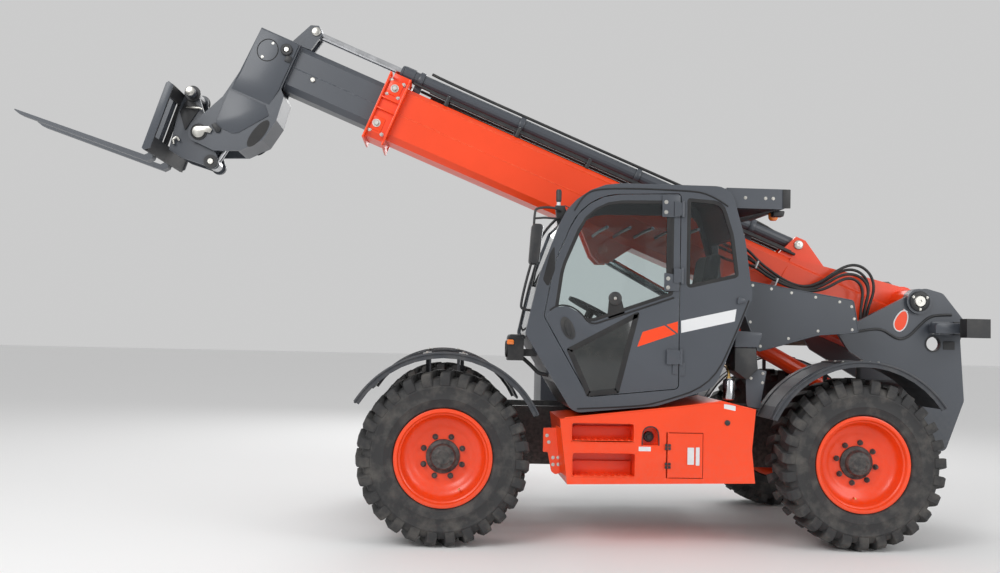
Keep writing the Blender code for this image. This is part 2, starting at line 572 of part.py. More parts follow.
for number, mesh in enumerate((prism(foot[1:] + [(1.72, plinth_top), (1.35, plinth_top)], -0.82, -0.48), console)):
    weld = cab_floor.modifiers.new(f"plinth_{number}", "BOOLEAN")
    weld.operation, weld.solver = "UNION", "EXACT"
    weld.object = place(f"guide_plinth_{number}", mesh, machine, guide=True)
part("seat_cushion", machine, seat_cloth,
     [prism(rounded([(1.22, 1.3603, 0.02), (1.22, 1.47, 0.05), (1.74, 1.45, 0.05), (1.74, 1.3603, 0.02)]),
            -0.89, -0.41)])
part("seat_back", machine, seat_cloth,
     [prism(rounded([(1.7403, 1.37, 0), (1.7403, 1.50, 0.02), (1.86, 2.08, 0.06), (1.97, 2.06, 0.05),
                     (1.84, 1.37, 0)]),
            -0.87, -0.43)])
part("steering_column", machine, black_plastic,
     [prism([(0.86, 0.90), (0.98, 0.90), (1.03, 1.50), (0.96, 1.53)], -0.71, -0.59),
      bar((0.98, -0.65, 1.48), (1.06, -0.65, 1.64), 0.03),
      bar((1.045, -0.65, 1.613), (1.055, -0.65, 1.633), 0.185, 24)],
     within=[prism(grown(cab_outline, -CAB_WALL - SEAT_GAP), -0.9, -0.4)])
# door on its rear pillar, hinged outside
door_axis = empty("axis_door", machine, (DOOR_HINGE_X, -CAB_OUTER - 0.012, 0))


def at_door(corners):
    return [(x - DOOR_HINGE_X, z, radius) for x, z, radius in corners]


door_out = 0.012
hinge_barrel = door_out - SEAT_GAP
door_solids = [prism(rounded(at_door(door_corners)), door_out, door_out + DOOR_THICKNESS)]
for z in (1.30, 1.86, 2.32):
    door_solids.append(box(-0.10, -0.02, -0.006, door_out + 0.002, z - 0.05, z + 0.05))
    door_solids.append(box(-0.09, 0, -0.0055, 0.0055, z - 0.045, z + 0.045))
    door_solids.append(bar((0, 0, z - 0.055), (0, 0, z + 0.055), hinge_barrel))
part("door_frame", door_axis, slate_paint, door_solids,
     [prism(rounded(at_door(window_corners)), -0.1, 0.2),
      prism(rounded(at_door(lower_corners)), -0.1, door_out + 0.025)])
part("door_window", door_axis, tinted_glass, [pane(at_door(window_corners), door_out + 0.008)])

part("roof_box", machine, slate_paint,
     [prism([(1.93, 2.345), (2.33, 2.345), (2.38, 2.37), (2.38, 2.485), (1.93, 2.485)], -1.02, -0.28)],
     [prism(grown(cab_outline, SEAT_GAP), -1.2, 0)])
part("mirror", machine, black_plastic,
     [box(0.545, 0.615, -1.135, -1.02, 1.90, 2.18),
      bar((0.58, -1.075, 2.17), (0.58, -1.075, 2.255), 0.010, 12),
      bar((0.572, -1.075, 2.25), (0.70, -1.066, 2.25), 0.009, 12),
      bar((0.695, -1.066, 2.255), (0.775, -1.062, 2.09), 0.0095, 12),
      box(0.755, 0.790, -1.07, -CAB_OUTER - SEAT_GAP, 2.06, 2.12)])


def nose_x(z):
    """The cab's sloping nose below its widest point."""
    (foot_x, foot_z, _), (tip_x, tip_z, _) = cab_corners[:2]
    return foot_x + (tip_x - foot_x) * (z - foot_z) / (tip_z - foot_z)


part("front_lamp", machine, lamp_lens,
     [box(0.435, 0.545, -0.88, -0.72, 1.25, 1.41),
      prism([(0.53, 1.28), (nose_x(1.28) - SEAT_GAP, 1.28), (nose_x(1.33) - SEAT_GAP, 1.33), (0.53, 1.33)],
            -0.83, -0.79)])

# ------------------------------------------------------------------ engine pod on the right
pod_rail = RAIL_OUTER + SEAT_GAP
part("engine_tray", machine, slate_paint,
     [box(ENGINE_FRONT, ENGINE_REAR, ENGINE_INNER, ENGINE_OUTER, ENGINE_BOTTOM, ENGINE_SPLIT),
      box(1.00, 1.10, pod_rail, ENGINE_INNER + 0.01, 0.60, 0.72),
      box(1.80, 1.90, pod_rail, ENGINE_INNER + 0.01, 0.60, 0.72)],
     [box(ENGINE_FRONT + SHEET, ENGINE_REAR - SHEET, ENGINE_INNER + SHEET, ENGINE_OUTER - SHEET,
          ENGINE_BOTTOM + SHEET, ENGINE_SPLIT + 0.1)],
     late=[box(ENGINE_FRONT + 0.02, ENGINE_REAR - 0.02, ENGINE_INNER, ENGINE_INNER + 0.010, ENGINE_SPLIT - 0.05,
               ENGINE_TOP - SHEET - RUNNING_GAP)])
part("engine_block", machine, black_paint,
     [box(1.05, 1.85, 0.52, 0.94, ENGINE_BOTTOM + SHEET + SEAT_GAP, 1.30)])
pipe_y = 0.56
pipe_route = [(ENGINE_REAR + SEAT_GAP, 1.00), (ENGINE_REAR + 0.025, 1.00), (ENGINE_REAR + 0.052, 1.035),
              (ENGINE_REAR + 0.065, 1.33), (ENGINE_REAR + 0.10, 1.42), (ENGINE_REAR + 0.18, 1.46), (2.55, 1.47),
              (3.22, 1.47), (3.36, 1.53), (3.48, 1.72), (3.56, 1.86), (3.66, 1.92), (3.78, 1.925), (3.87, 1.86),
              (3.90, 1.74)]
pipe = [hose([(x, pipe_y, z) for x, z in pipe_route], 0.032),
        bar((2.50, pipe_y, 1.47), (3.20, pipe_y, 1.47), 0.080, 16),
        box(3.60, 3.65, TOWER_OUTER + SEAT_GAP, pipe_y - 0.01, 1.865, 1.885)]
part("exhaust_pipe", machine, exhaust_steel, pipe)
hood_axis = empty("axis_hood", machine, (0, ENGINE_INNER + 0.012, ENGINE_TOP + 0.004))
hood_low = ENGINE_SPLIT + SEAT_GAP - ENGINE_TOP - 0.004
hood_side = ENGINE_OUTER - ENGINE_INNER - 0.012
part("engine_hood", hood_axis, slate_paint,
     [box(ENGINE_FRONT, ENGINE_REAR, 0.004, hood_side, hood_low, -0.004),
      box(ENGINE_FRONT + 0.10, ENGINE_REAR - 0.10, -0.012, 0.010, -0.004 - SHEET, -0.005)],
     [box(ENGINE_FRONT + SHEET, ENGINE_REAR - SHEET, -0.05, hood_side - SHEET, hood_low - 0.1,
          -0.004 - SHEET)])

# ------------------------------------------------------------------ boom, in its own axes
boom_axis = empty("axis_boom", machine, (PIVOT_X, 0, PIVOT_Z), (0, BOOM_ANGLE, 0))


def along(points):
    """(u, n) boom points as local (x, z)."""
    return [(-u, n) for u, n in points]


def boom_tube(half_width, top, bottom, rear, front, cut):
    """A box tube along the boom with its long edges chamfered, made as a cross-section run forward."""
    bm = bmesh.new()
    section = [(-half_width, bottom + cut), (-half_width, top - cut), (cut - half_width, top),
               (half_width - cut, top), (half_width, top - cut), (half_width, bottom + cut),
               (half_width - cut, bottom), (cut - half_width, bottom)]
    face = bm.faces.new([bm.verts.new((-rear, y, z)) for y, z in section])
    pushed = bmesh.ops.extrude_face_region(bm, geom=[face])
    moved = [item for item in pushed["geom"] if isinstance(item, bmesh.types.BMVert)]
    bmesh.ops.translate(bm, verts=moved, vec=(rear - front, 0, 0))
    return mesh_of(bm)


boss_outer = TOWER_OUTER - TOWER_THICKNESS - 0.02 - RUNNING_GAP
tail = along([(0.95, OUTER_TOP - 0.05), (0.95, OUTER_TOP), (0.30, 0.075)])
tail += along([(0.125 * math.cos(math.radians(a)), 0.125 * math.sin(math.radians(a)))
               for a in range(60, 211, 15)])
tail += along([(-0.12, -0.33), (0.02, OUTER_BOTTOM + 0.05), (0.95, OUTER_BOTTOM + 0.05)])
lug = along([(LIFT_LUG_U + 0.26, OUTER_BOTTOM + 0.01), (LIFT_LUG_U + 0.07, LIFT_LUG_N - 0.04),
             (LIFT_LUG_U, LIFT_LUG_N - 0.07), (LIFT_LUG_U - 0.07, LIFT_LUG_N - 0.04),
             (LIFT_LUG_U - 0.20, OUTER_BOTTOM + 0.01)])
perch = along([(EXTENSION_REAR_PIN + 0.13, OUTER_TOP - 0.01),
               (EXTENSION_REAR_PIN + 0.04, EXTENSION_N + 0.055),
               (EXTENSION_REAR_PIN - 0.04, EXTENSION_N + 0.055),
               (EXTENSION_REAR_PIN - 0.36, OUTER_TOP - 0.01)])
outer_solids = [boom_tube(OUTER_HALF_WIDTH, OUTER_TOP, OUTER_BOTTOM, 0.05, OUTER_FRONT, CORNER_CUT),
                prism(tail, -0.155, -0.125), prism(tail, 0.125, 0.155),
                axle_bar(0, 0, -boss_outer, boss_outer, 0.095, 14),
                boom_tube(OUTER_HALF_WIDTH + 0.025, OUTER_TOP + 0.025, OUTER_BOTTOM - 0.03,
                          OUTER_FRONT - 0.15, OUTER_FRONT + 0.02, CORNER_CUT)]
lug_inner, lug_outer = 0.078, 0.108
for side in (-1, 1):
    outer_solids.append(prism(lug, side * lug_inner, side * lug_outer))
    outer_solids.append(axle_bar(-LIFT_LUG_U, LIFT_LUG_N, side * (lug_outer - 0.005),
                                 side * (lug_outer + 0.02), 0.045))
    outer_solids.append(prism(perch, side * 0.065, side * 0.095))
cavity = boom_tube(OUTER_HALF_WIDTH - OUTER_WALL, OUTER_TOP - OUTER_WALL, OUTER_BOTTOM + OUTER_WALL,
                   0.80, OUTER_FRONT + 0.2, CORNER_CUT - OUTER_WALL / 2)
rear_cavity = box(-0.70, 0.20, -0.120, 0.120, OUTER_BOTTOM + 0.03, -0.11)
eye_slot = box(-(LIFT_LUG_U + 0.16), -(LIFT_LUG_U - 0.16), -0.074, 0.074, OUTER_BOTTOM - 0.02,
               OUTER_BOTTOM + 0.03)
pin_seat = 0.058
part("outer_boom", boom_axis, orange_paint, outer_solids,
     [cavity, rear_cavity, eye_slot, axle_bar(0, 0, -0.6, 0.6, PIVOT_PIN_RADIUS + PIN_GAP, PIN_SIDES),
      axle_bar(-EXTENSION_REAR_PIN, EXTENSION_N, -0.2, 0.2, 0.026, 14)])

bore = EXTENSION_ROD_RADIUS + PIN_GAP
part("extension_barrel", boom_axis, slate_paint,
     [bar((-(EXTENSION_REAR_PIN + 0.022), 0, EXTENSION_N), (0.01 - EXTENSION_GLAND, 0, EXTENSION_N),
          EXTENSION_RADIUS, 16),
      axle_bar(-EXTENSION_REAR_PIN, EXTENSION_N, -pin_seat, pin_seat, 0.046, 14),
      axle_bar(-EXTENSION_REAR_PIN, EXTENSION_N, -0.10, 0.10, 0.026 - SEAT_GAP, 14),
      bar((0.09 - EXTENSION_GLAND, 0, EXTENSION_N), (-EXTENSION_GLAND, 0, EXTENSION_N),
          EXTENSION_RADIUS + 0.008, 16)],
     [bar((-(EXTENSION_REAR_PIN + 0.30), 0, EXTENSION_N), (-(EXTENSION_GLAND + 0.1), 0, EXTENSION_N), bore, 16)])

slide_axis = empty("axis_extend", boom_axis)
part("inner_boom", slide_axis, slate_paint,
     [boom_tube(INNER_HALF_WIDTH, INNER_TOP, INNER_BOTTOM, INNER_REAR, INNER_FRONT - SEAT_GAP, CORNER_CUT)],
     [boom_tube(INNER_HALF_WIDTH - INNER_WALL, INNER_TOP - INNER_WALL, INNER_BOTTOM + INNER_WALL,
                INNER_REAR - 0.1, INNER_FRONT - 0.1, CORNER_CUT - INNER_WALL / 2)])
head_outline = along([(5.415, INNER_TOP - 0.005), (INNER_FRONT, INNER_TOP - 0.005), (INNER_FRONT, INNER_BOTTOM - 0.015),
                      (5.045, INNER_BOTTOM - 0.06), (5.022, -0.675),
                      (5.055, -0.858), (5.175, -0.995), (5.36, -1.078)]
                     + [(CARRIAGE_U + 0.082 * math.cos(math.radians(a)), CARRIAGE_N + 0.082 * math.sin(math.radians(a)))
                        for a in range(-105, 16, 20)]
                     + [(5.465, -0.67), (5.426, -0.435)])
head_cavity = along([(5.118, -0.095), (5.385, -0.095), (5.398, -0.435), (5.60, -0.48), (5.80, -0.9),
                     (5.75, -1.3), (5.20, -1.3), (5.207, -1.02), (5.085, -0.845), (5.052, -0.675),
                     (5.082, -0.44)])
cavity_half = HEAD_HALF_WIDTH - HEAD_PLATE
front_perch = along([(EXTENSION_FRONT_PIN + 0.16, -0.10), (EXTENSION_FRONT_PIN + 0.06, EXTENSION_N + 0.03),
                     (EXTENSION_FRONT_PIN, EXTENSION_N + 0.052), (EXTENSION_FRONT_PIN - 0.052, EXTENSION_N),
                     (EXTENSION_FRONT_PIN - 0.02, INNER_TOP + 0.01), (EXTENSION_FRONT_PIN + 0.06, INNER_TOP + 0.006)])
head_solids = [prism(head_outline, -HEAD_HALF_WIDTH, HEAD_HALF_WIDTH)]
for side in (-1, 1):
    head_solids.append(prism(front_perch, side * 0.055, side * 0.085))
part("boom_head", slide_axis, slate_paint, head_solids,
     [prism(head_cavity, -cavity_half, cavity_half),
      axle_bar(-EXTENSION_FRONT_PIN, EXTENSION_N, -0.2, 0.2, 0.022, 14)],
     late=[axle_bar(-CARRIAGE_U, CARRIAGE_N, -HEAD_HALF_WIDTH - 0.012, HEAD_HALF_WIDTH + 0.012,
                    CARRIAGE_PIN_RADIUS, PIN_SIDES),
           axle_bar(-TILT_BASE_U, TILT_BASE_N, -cavity_half - 0.01, cavity_half + 0.01, 0.022, PIN_SIDES)])
part("extension_rod", slide_axis, bare_steel,
     [bar((-(EXTENSION_FRONT_PIN - 0.023), 0, EXTENSION_N), (-(EXTENSION_FRONT_PIN - 2.9), 0, EXTENSION_N),
          EXTENSION_ROD_RADIUS, 16),
      axle_bar(-EXTENSION_FRONT_PIN, EXTENSION_N, -0.050, 0.050, 0.046, 14),
      axle_bar(-EXTENSION_FRONT_PIN, EXTENSION_N, -0.09, 0.09, 0.022 - SEAT_GAP, 14)])

# ------------------------------------------------------------------ quick hitch, carriage and forks
carriage_axis = empty("axis_carriage", slide_axis, (-CARRIAGE_U, 0, CARRIAGE_N), (0, FORK_TILT - BOOM_ANGLE, 0))


def ahead(points):
    """(forward, up) carriage points as local (x, z)."""
    return [(-forward, up) for forward, up in points]


def disc_points(forward, up, radius, start, end):
    return [(forward + radius * math.cos(math.radians(a)), up + radius * math.sin(math.radians(a)))
            for a in range(start, end + 1, 20)]


hitch_top = (0.150, 0.262)
carriage_back = 0.208
hitch_front = carriage_back - SEAT_GAP
hitch_outline = ahead([(0.175, -0.20), (hitch_front, 0.10), (hitch_front, 0.20)] + disc_points(*hitch_top, 0.055, 10, 190)
                      + disc_points(0, 0, 0.075, 150, 170) + disc_points(EAR_FORWARD, EAR_UP, 0.055, 130, 310)
                      + [(0.06, -0.225)])
plate_in = HITCH_HALF_WIDTH - HITCH_PLATE
hitch_solids = [prism(hitch_outline, -HITCH_HALF_WIDTH, -plate_in), prism(hitch_outline, plate_in, HITCH_HALF_WIDTH),
                prism(ahead([(0.165, -0.19), (0.195, 0.10), (0.195, 0.19), (0.165, 0.19), (0.135, -0.19)]),
                      -plate_in - 0.01, plate_in + 0.01),
                axle_bar(-hitch_top[0], hitch_top[1], -HITCH_HALF_WIDTH - 0.10, HITCH_HALF_WIDTH + 0.10, 0.038, 16)]
eye_gap = 0.068
for side in (-1, 1):
    hitch_solids.append(axle_bar(-EAR_FORWARD, EAR_UP, side * eye_gap, side * (plate_in + 0.01), 0.040, 14))
part("hitch_frame", carriage_axis, slate_paint, hitch_solids,
     [axle_bar(0, 0, -0.3, 0.3, CARRIAGE_PIN_RADIUS + PIN_GAP, PIN_SIDES)])
bolster_bottom, bolster_top = -0.29, 0.235
part("fork_carriage", carriage_axis, black_paint,
     [box(-CARRIAGE_FACE, -carriage_back, -CARRIAGE_HALF_WIDTH, CARRIAGE_HALF_WIDTH, bolster_top - 0.09, bolster_top),
      box(-CARRIAGE_FACE, -carriage_back, -CARRIAGE_HALF_WIDTH, CARRIAGE_HALF_WIDTH, bolster_bottom,
          bolster_bottom + 0.12)]
     + [box(-CARRIAGE_FACE, -carriage_back, side * (CARRIAGE_HALF_WIDTH - 0.05), side * CARRIAGE_HALF_WIDTH,
            bolster_bottom + 0.01, bolster_top - 0.01) for side in (-1, 1)]
     + [box(-CARRIAGE_FACE, -carriage_back, side * 0.10, side * 0.15, bolster_bottom + 0.01,
            bolster_top - 0.01) for side in (-1, 1)])
shank_back = CARRIAGE_FACE + SEAT_GAP
shank_front = shank_back + FORK_THICKNESS
blade_top = FORK_BOTTOM + FORK_THICKNESS
fork_outline = ahead([(shank_back, 0.20), (shank_back, FORK_BOTTOM + 0.03), (shank_back + 0.03, FORK_BOTTOM),
                      (shank_back + FORK_LENGTH - 0.05, FORK_BOTTOM + 0.014),
                      (shank_back + FORK_LENGTH, blade_top - 0.008), (shank_back + FORK_LENGTH, blade_top),
                      (shank_front + 0.02, blade_top), (shank_front, blade_top + 0.02), (shank_front, 0.20)])
for hand, side in (("left", -1), ("right", 1)):
    middle = side * FORK_SPREAD / 2
    part(f"fork_{hand}", carriage_axis, slate_paint,
         [prism(fork_outline, middle - FORK_WIDTH / 2, middle + FORK_WIDTH / 2)])

# ------------------------------------------------------------------ tilt and lift cylinders
def cylinder(tag, parent, start, end, radius, rod_radius, barrel_length, rod_length, eye_radius, eye_half,
             base_eye, base_half, base_bore, finish):
    """A barrel hinged at start and a rod that slides in it, whose eye is at end in the side view."""
    run = Vector((end[0] - start[0], 0, end[1] - start[1]))
    reach = run.length
    angle = math.degrees(math.atan2(run.z, -run.x))
    hinge = empty(f"axis_{tag}_barrel", parent, (start[0], 0, start[1]), (0, angle, 0))
    part(f"{tag}_barrel", hinge, finish,
         [axle_bar(0, 0, -base_half, base_half, base_eye, 18),
          bar((-(base_eye + base_bore) / 2, 0, 0), (0.01 - barrel_length, 0, 0), radius, 16),
          bar((0.09 - barrel_length, 0, 0), (-barrel_length, 0, 0), radius + 0.008, 16)],
         [axle_bar(0, 0, -0.3, 0.3, base_bore, PIN_SIDES),
          bar((-(base_eye + 0.03), 0, 0), (-(barrel_length + 0.1), 0, 0), rod_radius + PIN_GAP, 16)])
    slide = empty(f"axis_{tag}_rod", hinge)
    part(f"{tag}_rod", slide, bare_steel,
         [bar((-(reach - rod_length), 0, 0), (-(reach - eye_radius * 0.7), 0, 0), rod_radius, 16),
          axle_bar(-reach, 0, -eye_half, eye_half, eye_radius, 16)])


turn = math.radians(BOOM_ANGLE)
lug_x = PIVOT_X - LIFT_LUG_U * math.cos(turn) + LIFT_LUG_N * math.sin(turn)
lug_z = PIVOT_Z + LIFT_LUG_U * math.sin(turn) + LIFT_LUG_N * math.cos(turn)
cylinder("lift", machine, (LIFT_BASE_X, LIFT_BASE_Z), (lug_x, lug_z), LIFT_RADIUS, LIFT_ROD_RADIUS,
         LIFT_BARREL_LENGTH, LIFT_ROD_LENGTH, LIFT_EYE_RADIUS, 0.065, 0.075, clevis_inner - 0.005,
         LIFT_PIN_RADIUS + PIN_GAP, orange_paint)
lean = math.radians(FORK_TILT - BOOM_ANGLE)
ear_x = -CARRIAGE_U - EAR_FORWARD * math.cos(lean) + EAR_UP * math.sin(lean)
ear_z = CARRIAGE_N + EAR_FORWARD * math.sin(lean) + EAR_UP * math.cos(lean)
cylinder("tilt", slide_axis, (-TILT_BASE_U, TILT_BASE_N), (ear_x, ear_z), TILT_RADIUS, TILT_ROD_RADIUS,
         TILT_BARREL_LENGTH, TILT_ROD_LENGTH, TILT_EYE_RADIUS, 0.060, 0.045, 0.07, 0.022 + PIN_GAP, slate_paint)

# ------------------------------------------------------------------ origin at the middle of the foot
bpy.context.view_layer.update()
depsgraph = bpy.context.evaluated_depsgraph_get()
corners = []
for thing in bpy.context.scene.objects:
    if thing.type == "MESH" and not thing.hide_render:
        solid = thing.evaluated_get(depsgraph)
        corners += [thing.matrix_world @ vertex.co for vertex in solid.data.vertices]
low = Vector([min(corner[i] for corner in corners) for i in range(3)])
high = Vector([max(corner[i] for corner in corners) for i in range(3)])
machine.location = (-(low.x + high.x) / 2, -(low.y + high.y) / 2, -low.z)
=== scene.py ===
"""Telehandler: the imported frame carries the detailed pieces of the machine, section by section."""
import json
import math

import bpy
from mathutils import Matrix, Vector


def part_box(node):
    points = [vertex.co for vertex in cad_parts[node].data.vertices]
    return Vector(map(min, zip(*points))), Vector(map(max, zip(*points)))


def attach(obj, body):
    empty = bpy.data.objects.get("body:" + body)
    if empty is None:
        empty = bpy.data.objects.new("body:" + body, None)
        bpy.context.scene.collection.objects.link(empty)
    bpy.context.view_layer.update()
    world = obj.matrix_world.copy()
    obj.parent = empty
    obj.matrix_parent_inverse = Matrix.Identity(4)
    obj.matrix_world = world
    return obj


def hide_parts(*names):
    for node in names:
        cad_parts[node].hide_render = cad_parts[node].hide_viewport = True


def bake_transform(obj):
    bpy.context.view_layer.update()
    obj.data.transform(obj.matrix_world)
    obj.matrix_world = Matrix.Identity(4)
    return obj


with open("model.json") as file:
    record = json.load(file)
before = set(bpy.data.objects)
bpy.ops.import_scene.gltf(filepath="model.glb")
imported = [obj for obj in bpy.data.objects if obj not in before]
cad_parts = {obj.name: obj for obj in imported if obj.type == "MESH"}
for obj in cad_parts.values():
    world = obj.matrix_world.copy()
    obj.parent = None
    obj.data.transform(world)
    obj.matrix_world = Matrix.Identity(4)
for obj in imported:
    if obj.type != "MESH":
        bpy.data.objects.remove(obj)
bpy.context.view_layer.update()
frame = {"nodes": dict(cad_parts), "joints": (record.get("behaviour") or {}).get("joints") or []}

# ---------------------------------------------------------------- studio: camera, floor and lights
# A plain pale studio.  The camera stands level with the machine's left side at about door height,
# and three large soft lamps and a pale sky light it from above and in front.
scene = bpy.context.scene
axle_low, axle_high = (Vector(corner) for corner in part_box("tyre_front_left"))
front_axle = (axle_low + axle_high) / 2
origin_x = front_axle.x


def clear_selection():
    bpy.ops.object.select_all(action="DESELECT")


def square_up(thing):
    """Leaves the object at the origin, unturned and unscaled, with its place in its mesh."""
    clear_selection()
    thing.select_set(True)
    bpy.context.view_layer.objects.active = thing
    bpy.ops.object.transform_apply(location=True, rotation=True, scale=True)


yaw, pitch, roll = 0.0571, 0.0465, 0.0225
sight = Vector((math.sin(yaw) * math.cos(pitch), math.cos(yaw) * math.cos(pitch), math.sin(pitch)))
level = Vector((math.cos(yaw), -math.sin(yaw), 0))
upright = level.cross(sight)
across = level * math.cos(roll) + upright * math.sin(roll)
above = upright * math.cos(roll) - level * math.sin(roll)
clear_selection()
bpy.ops.object.camera_add(location=(0, 0, 0))
camera = bpy.context.object
camera.name = "camera"
camera.matrix_world = Matrix.Translation((origin_x - 0.0376, -7.9996, 1.4268)) @ Matrix(
    (across, above, -sight)).transposed().to_4x4()
camera.data.sensor_width = 36
camera.data.lens = 36.8
camera.data.clip_end = 200
scene.camera = camera

bpy.ops.mesh.primitive_grid_add(x_subdivisions=4, y_subdivisions=4, size=120, location=(0, 0, -0.004))
floor = bpy.context.object
floor.name = "studio_floor"
floor_white = bpy.data.materials.new("studio_floor_white")
floor_white.use_nodes = True
floor_white.node_tree.nodes["Principled BSDF"].inputs["Base Color"].default_value = (0.86, 0.86, 0.86, 1)
floor_white.node_tree.nodes["Principled BSDF"].inputs["Roughness"].default_value = 0.75
floor.data.materials.append(floor_white)

sky = bpy.data.worlds.new("studio_sky")
scene.world = sky
sky.use_nodes = True
sky.node_tree.nodes["Background"].inputs["Color"].default_value = (1.0, 1.0, 1.0, 1)
sky.node_tree.nodes["Background"].inputs["Strength"].default_value = 0.60
for lamp_name, place, aim, width, watts in (
        ("key", (-5.0, -7.5, 7.0), (0.0, 0.0, 1.2), 5.0, 470),
        ("fill", (6.5, -6.0, 4.0), (0.5, 0.0, 1.2), 4.0, 170),
        ("back", (1.0, 7.0, 6.0), (0.0, 0.0, 1.5), 6.0, 260)):
    bpy.ops.object.light_add(type="AREA", location=place)
    lamp = bpy.context.object
    lamp.name = f"studio_{lamp_name}"
    lamp.data.size = width
    lamp.data.energy = watts
    lamp.rotation_euler = (Vector(aim) - Vector(place)).to_track_quat("-Z", "Y").to_euler()
scene.view_settings.view_transform = "Standard"


# ---------------------------------------------------------------- paint on the steelwork
# Two-pack machine enamel: orange on the boom, rims and step box, blue-grey on the cab and plates and
# black inside the frame.  Fine orange peel, slow changes of tone, edges painted paler as a highlight, and low dust.
def new_group(title, ins, outs):
    """A shader node group with its sockets; ins are (name, kind, value)."""
    group = bpy.data.node_groups.new(title, "ShaderNodeTree")
    for label, kind, value in ins:
        socket = group.interface.new_socket(label, in_out="INPUT", socket_type=f"NodeSocket{kind}")
        socket.default_value = value
    for label, kind in outs:
        group.interface.new_socket(label, in_out="OUTPUT", socket_type=f"NodeSocket{kind}")
    return group, group.nodes.new("NodeGroupInput").outputs, group.nodes.new("NodeGroupOutput").inputs


def add_node(tree, kind, settings=(), **values):
    """One shader node: settings are its properties, values its input sockets (a link or a number)."""
    node = tree.nodes.new(f"ShaderNode{kind}")
    for label, value in dict(settings).items():
        setattr(node, label, value)
    for label, value in values.items():
        socket = node.inputs[int(label[1:])] if label[0] == "i" and label[1:].isdigit() else node.inputs[
            label.replace("_", " ")]
        if isinstance(value, bpy.types.NodeSocket):
            tree.links.new(value, socket)
        else:
            socket.default_value = value
    return node


def ramp(tree, source, low, high, dark=0.0, light=1.0):
    """The source spread from low..high onto dark..light."""
    node = add_node(tree, "MapRange", i0=source, i1=low, i2=high, i3=dark, i4=light)
    return node.outputs[0]


def blend_colours(tree, factor, first, second):
    node = add_node(tree, "Mix", {"data_type": "RGBA"}, i0=factor, i6=first, i7=second)
    return node.outputs[2]


enamel, ins, outs = new_group(
    "enamel_film",
    [("Colour", "Color", (0.5, 0.5, 0.5, 1)), ("Painted edge", "Color", (0.6, 0.6, 0.6, 1)), ("Painted edge amount", "Float", 0.5),
     ("Dust", "Float", 0.5), ("Gloss", "Float", 0.35)],
    [("Colour", "Color"), ("Roughness", "Float"), ("Height", "Float")])
where = add_node(enamel, "TexCoord").outputs["Object"]
tone = add_node(enamel, "TexNoise", Vector=where, Scale=1.7, Detail=3.0).outputs["Fac"]
speck = add_node(enamel, "TexNoise", Vector=where, Scale=34.0, Detail=6.0, Roughness=0.62).outputs["Fac"]
peel = add_node(enamel, "TexNoise", Vector=where, Scale=420.0, Detail=2.0).outputs["Fac"]
rounded_normal = add_node(enamel, "Bevel", {"samples": 4}, Radius=0.006).outputs[0]
flat_normal = add_node(enamel, "NewGeometry").outputs["Normal"]
agreement = add_node(enamel, "VectorMath", {"operation": "DOT_PRODUCT"}, i0=rounded_normal,
                     i1=flat_normal).outputs["Value"]
# Edge mask from the bevelled normal, broken up by noise: these edges take the edge colour, a painted highlight (paler
# on the enamels), not wear.
edge = ramp(enamel, agreement, 0.985, 0.90)
broken_edge = add_node(enamel, "Math", {"operation": "MULTIPLY"}, i0=edge, i1=ramp(enamel, speck, 0.42, 0.66)).outputs[0]
painted_edge_mask = add_node(enamel, "Math", {"operation": "MULTIPLY", "use_clamp": True}, i0=broken_edge,
                     i1=ins["Painted edge amount"]).outputs[0]
height_z = add_node(enamel, "SeparateXYZ", Vector=where).outputs["Z"]
dust_low = ramp(enamel, height_z, 1.1, 0.1)
dusty = add_node(enamel, "Math", {"operation": "MULTIPLY"}, i0=dust_low, i1=ramp(enamel, speck, 0.35, 0.75)).outputs[0]
dust_mask = add_node(enamel, "Math", {"operation": "MULTIPLY", "use_clamp": True}, i0=dusty,
                     i1=ins["Dust"]).outputs[0]
toned = add_node(enamel, "HueSaturation", Value=ramp(enamel, tone, 0.3, 0.7, 0.93, 1.06), Color=ins["Colour"])
painted_edges = blend_colours(enamel, painted_edge_mask, toned.outputs[0], ins["Painted edge"])
dusted = blend_colours(enamel, dust_mask, painted_edges, (0.33, 0.30, 0.26, 1))
enamel.links.new(dusted, outs["Colour"])
rough_tone = ramp(enamel, tone, 0.3, 0.7, -0.04, 0.05)
rough_sum = add_node(enamel, "Math", {"operation": "ADD"}, i0=ins["Gloss"], i1=rough_tone).outputs[0]
rough_dust = add_node(enamel, "Math", {"operation": "MULTIPLY_ADD", "use_clamp": True}, i0=dust_mask, i1=0.4,
                      i2=rough_sum).outputs[0]
enamel.links.new(rough_dust, outs["Roughness"])
peel_height = add_node(enamel, "Math", {"operation": "MULTIPLY_ADD"}, i0=speck, i1=0.35, i2=peel).outputs[0]
enamel.links.new(peel_height, outs["Height"])


def film_material(title, group, values, bump=0.05, bump_distance=0.002, **plain):
    """A material whose colour, roughness and height come from a group; plain are fixed Principled values."""
    finish = bpy.data.materials.new(title)
    finish.use_nodes = True
    tree = finish.node_tree
    skin = tree.nodes["Principled BSDF"]
    film = tree.nodes.new("ShaderNodeGroup")
    film.node_tree = group
    for label, value in values.items():
        film.inputs[label].default_value = value
    tree.links.new(film.outputs["Colour"], skin.inputs["Base Color"])
    tree.links.new(film.outputs["Roughness"], skin.inputs["Roughness"])
    relief = tree.nodes.new("ShaderNodeBump")
    relief.inputs["Strength"].default_value = bump
    relief.inputs["Distance"].default_value = bump_distance
    tree.links.new(film.outputs["Height"], relief.inputs["Height"])
    tree.links.new(relief.outputs["Normal"], skin.inputs["Normal"])
    for label, value in plain.items():
        skin.inputs[label.replace("_", " ")].default_value = value
    return finish
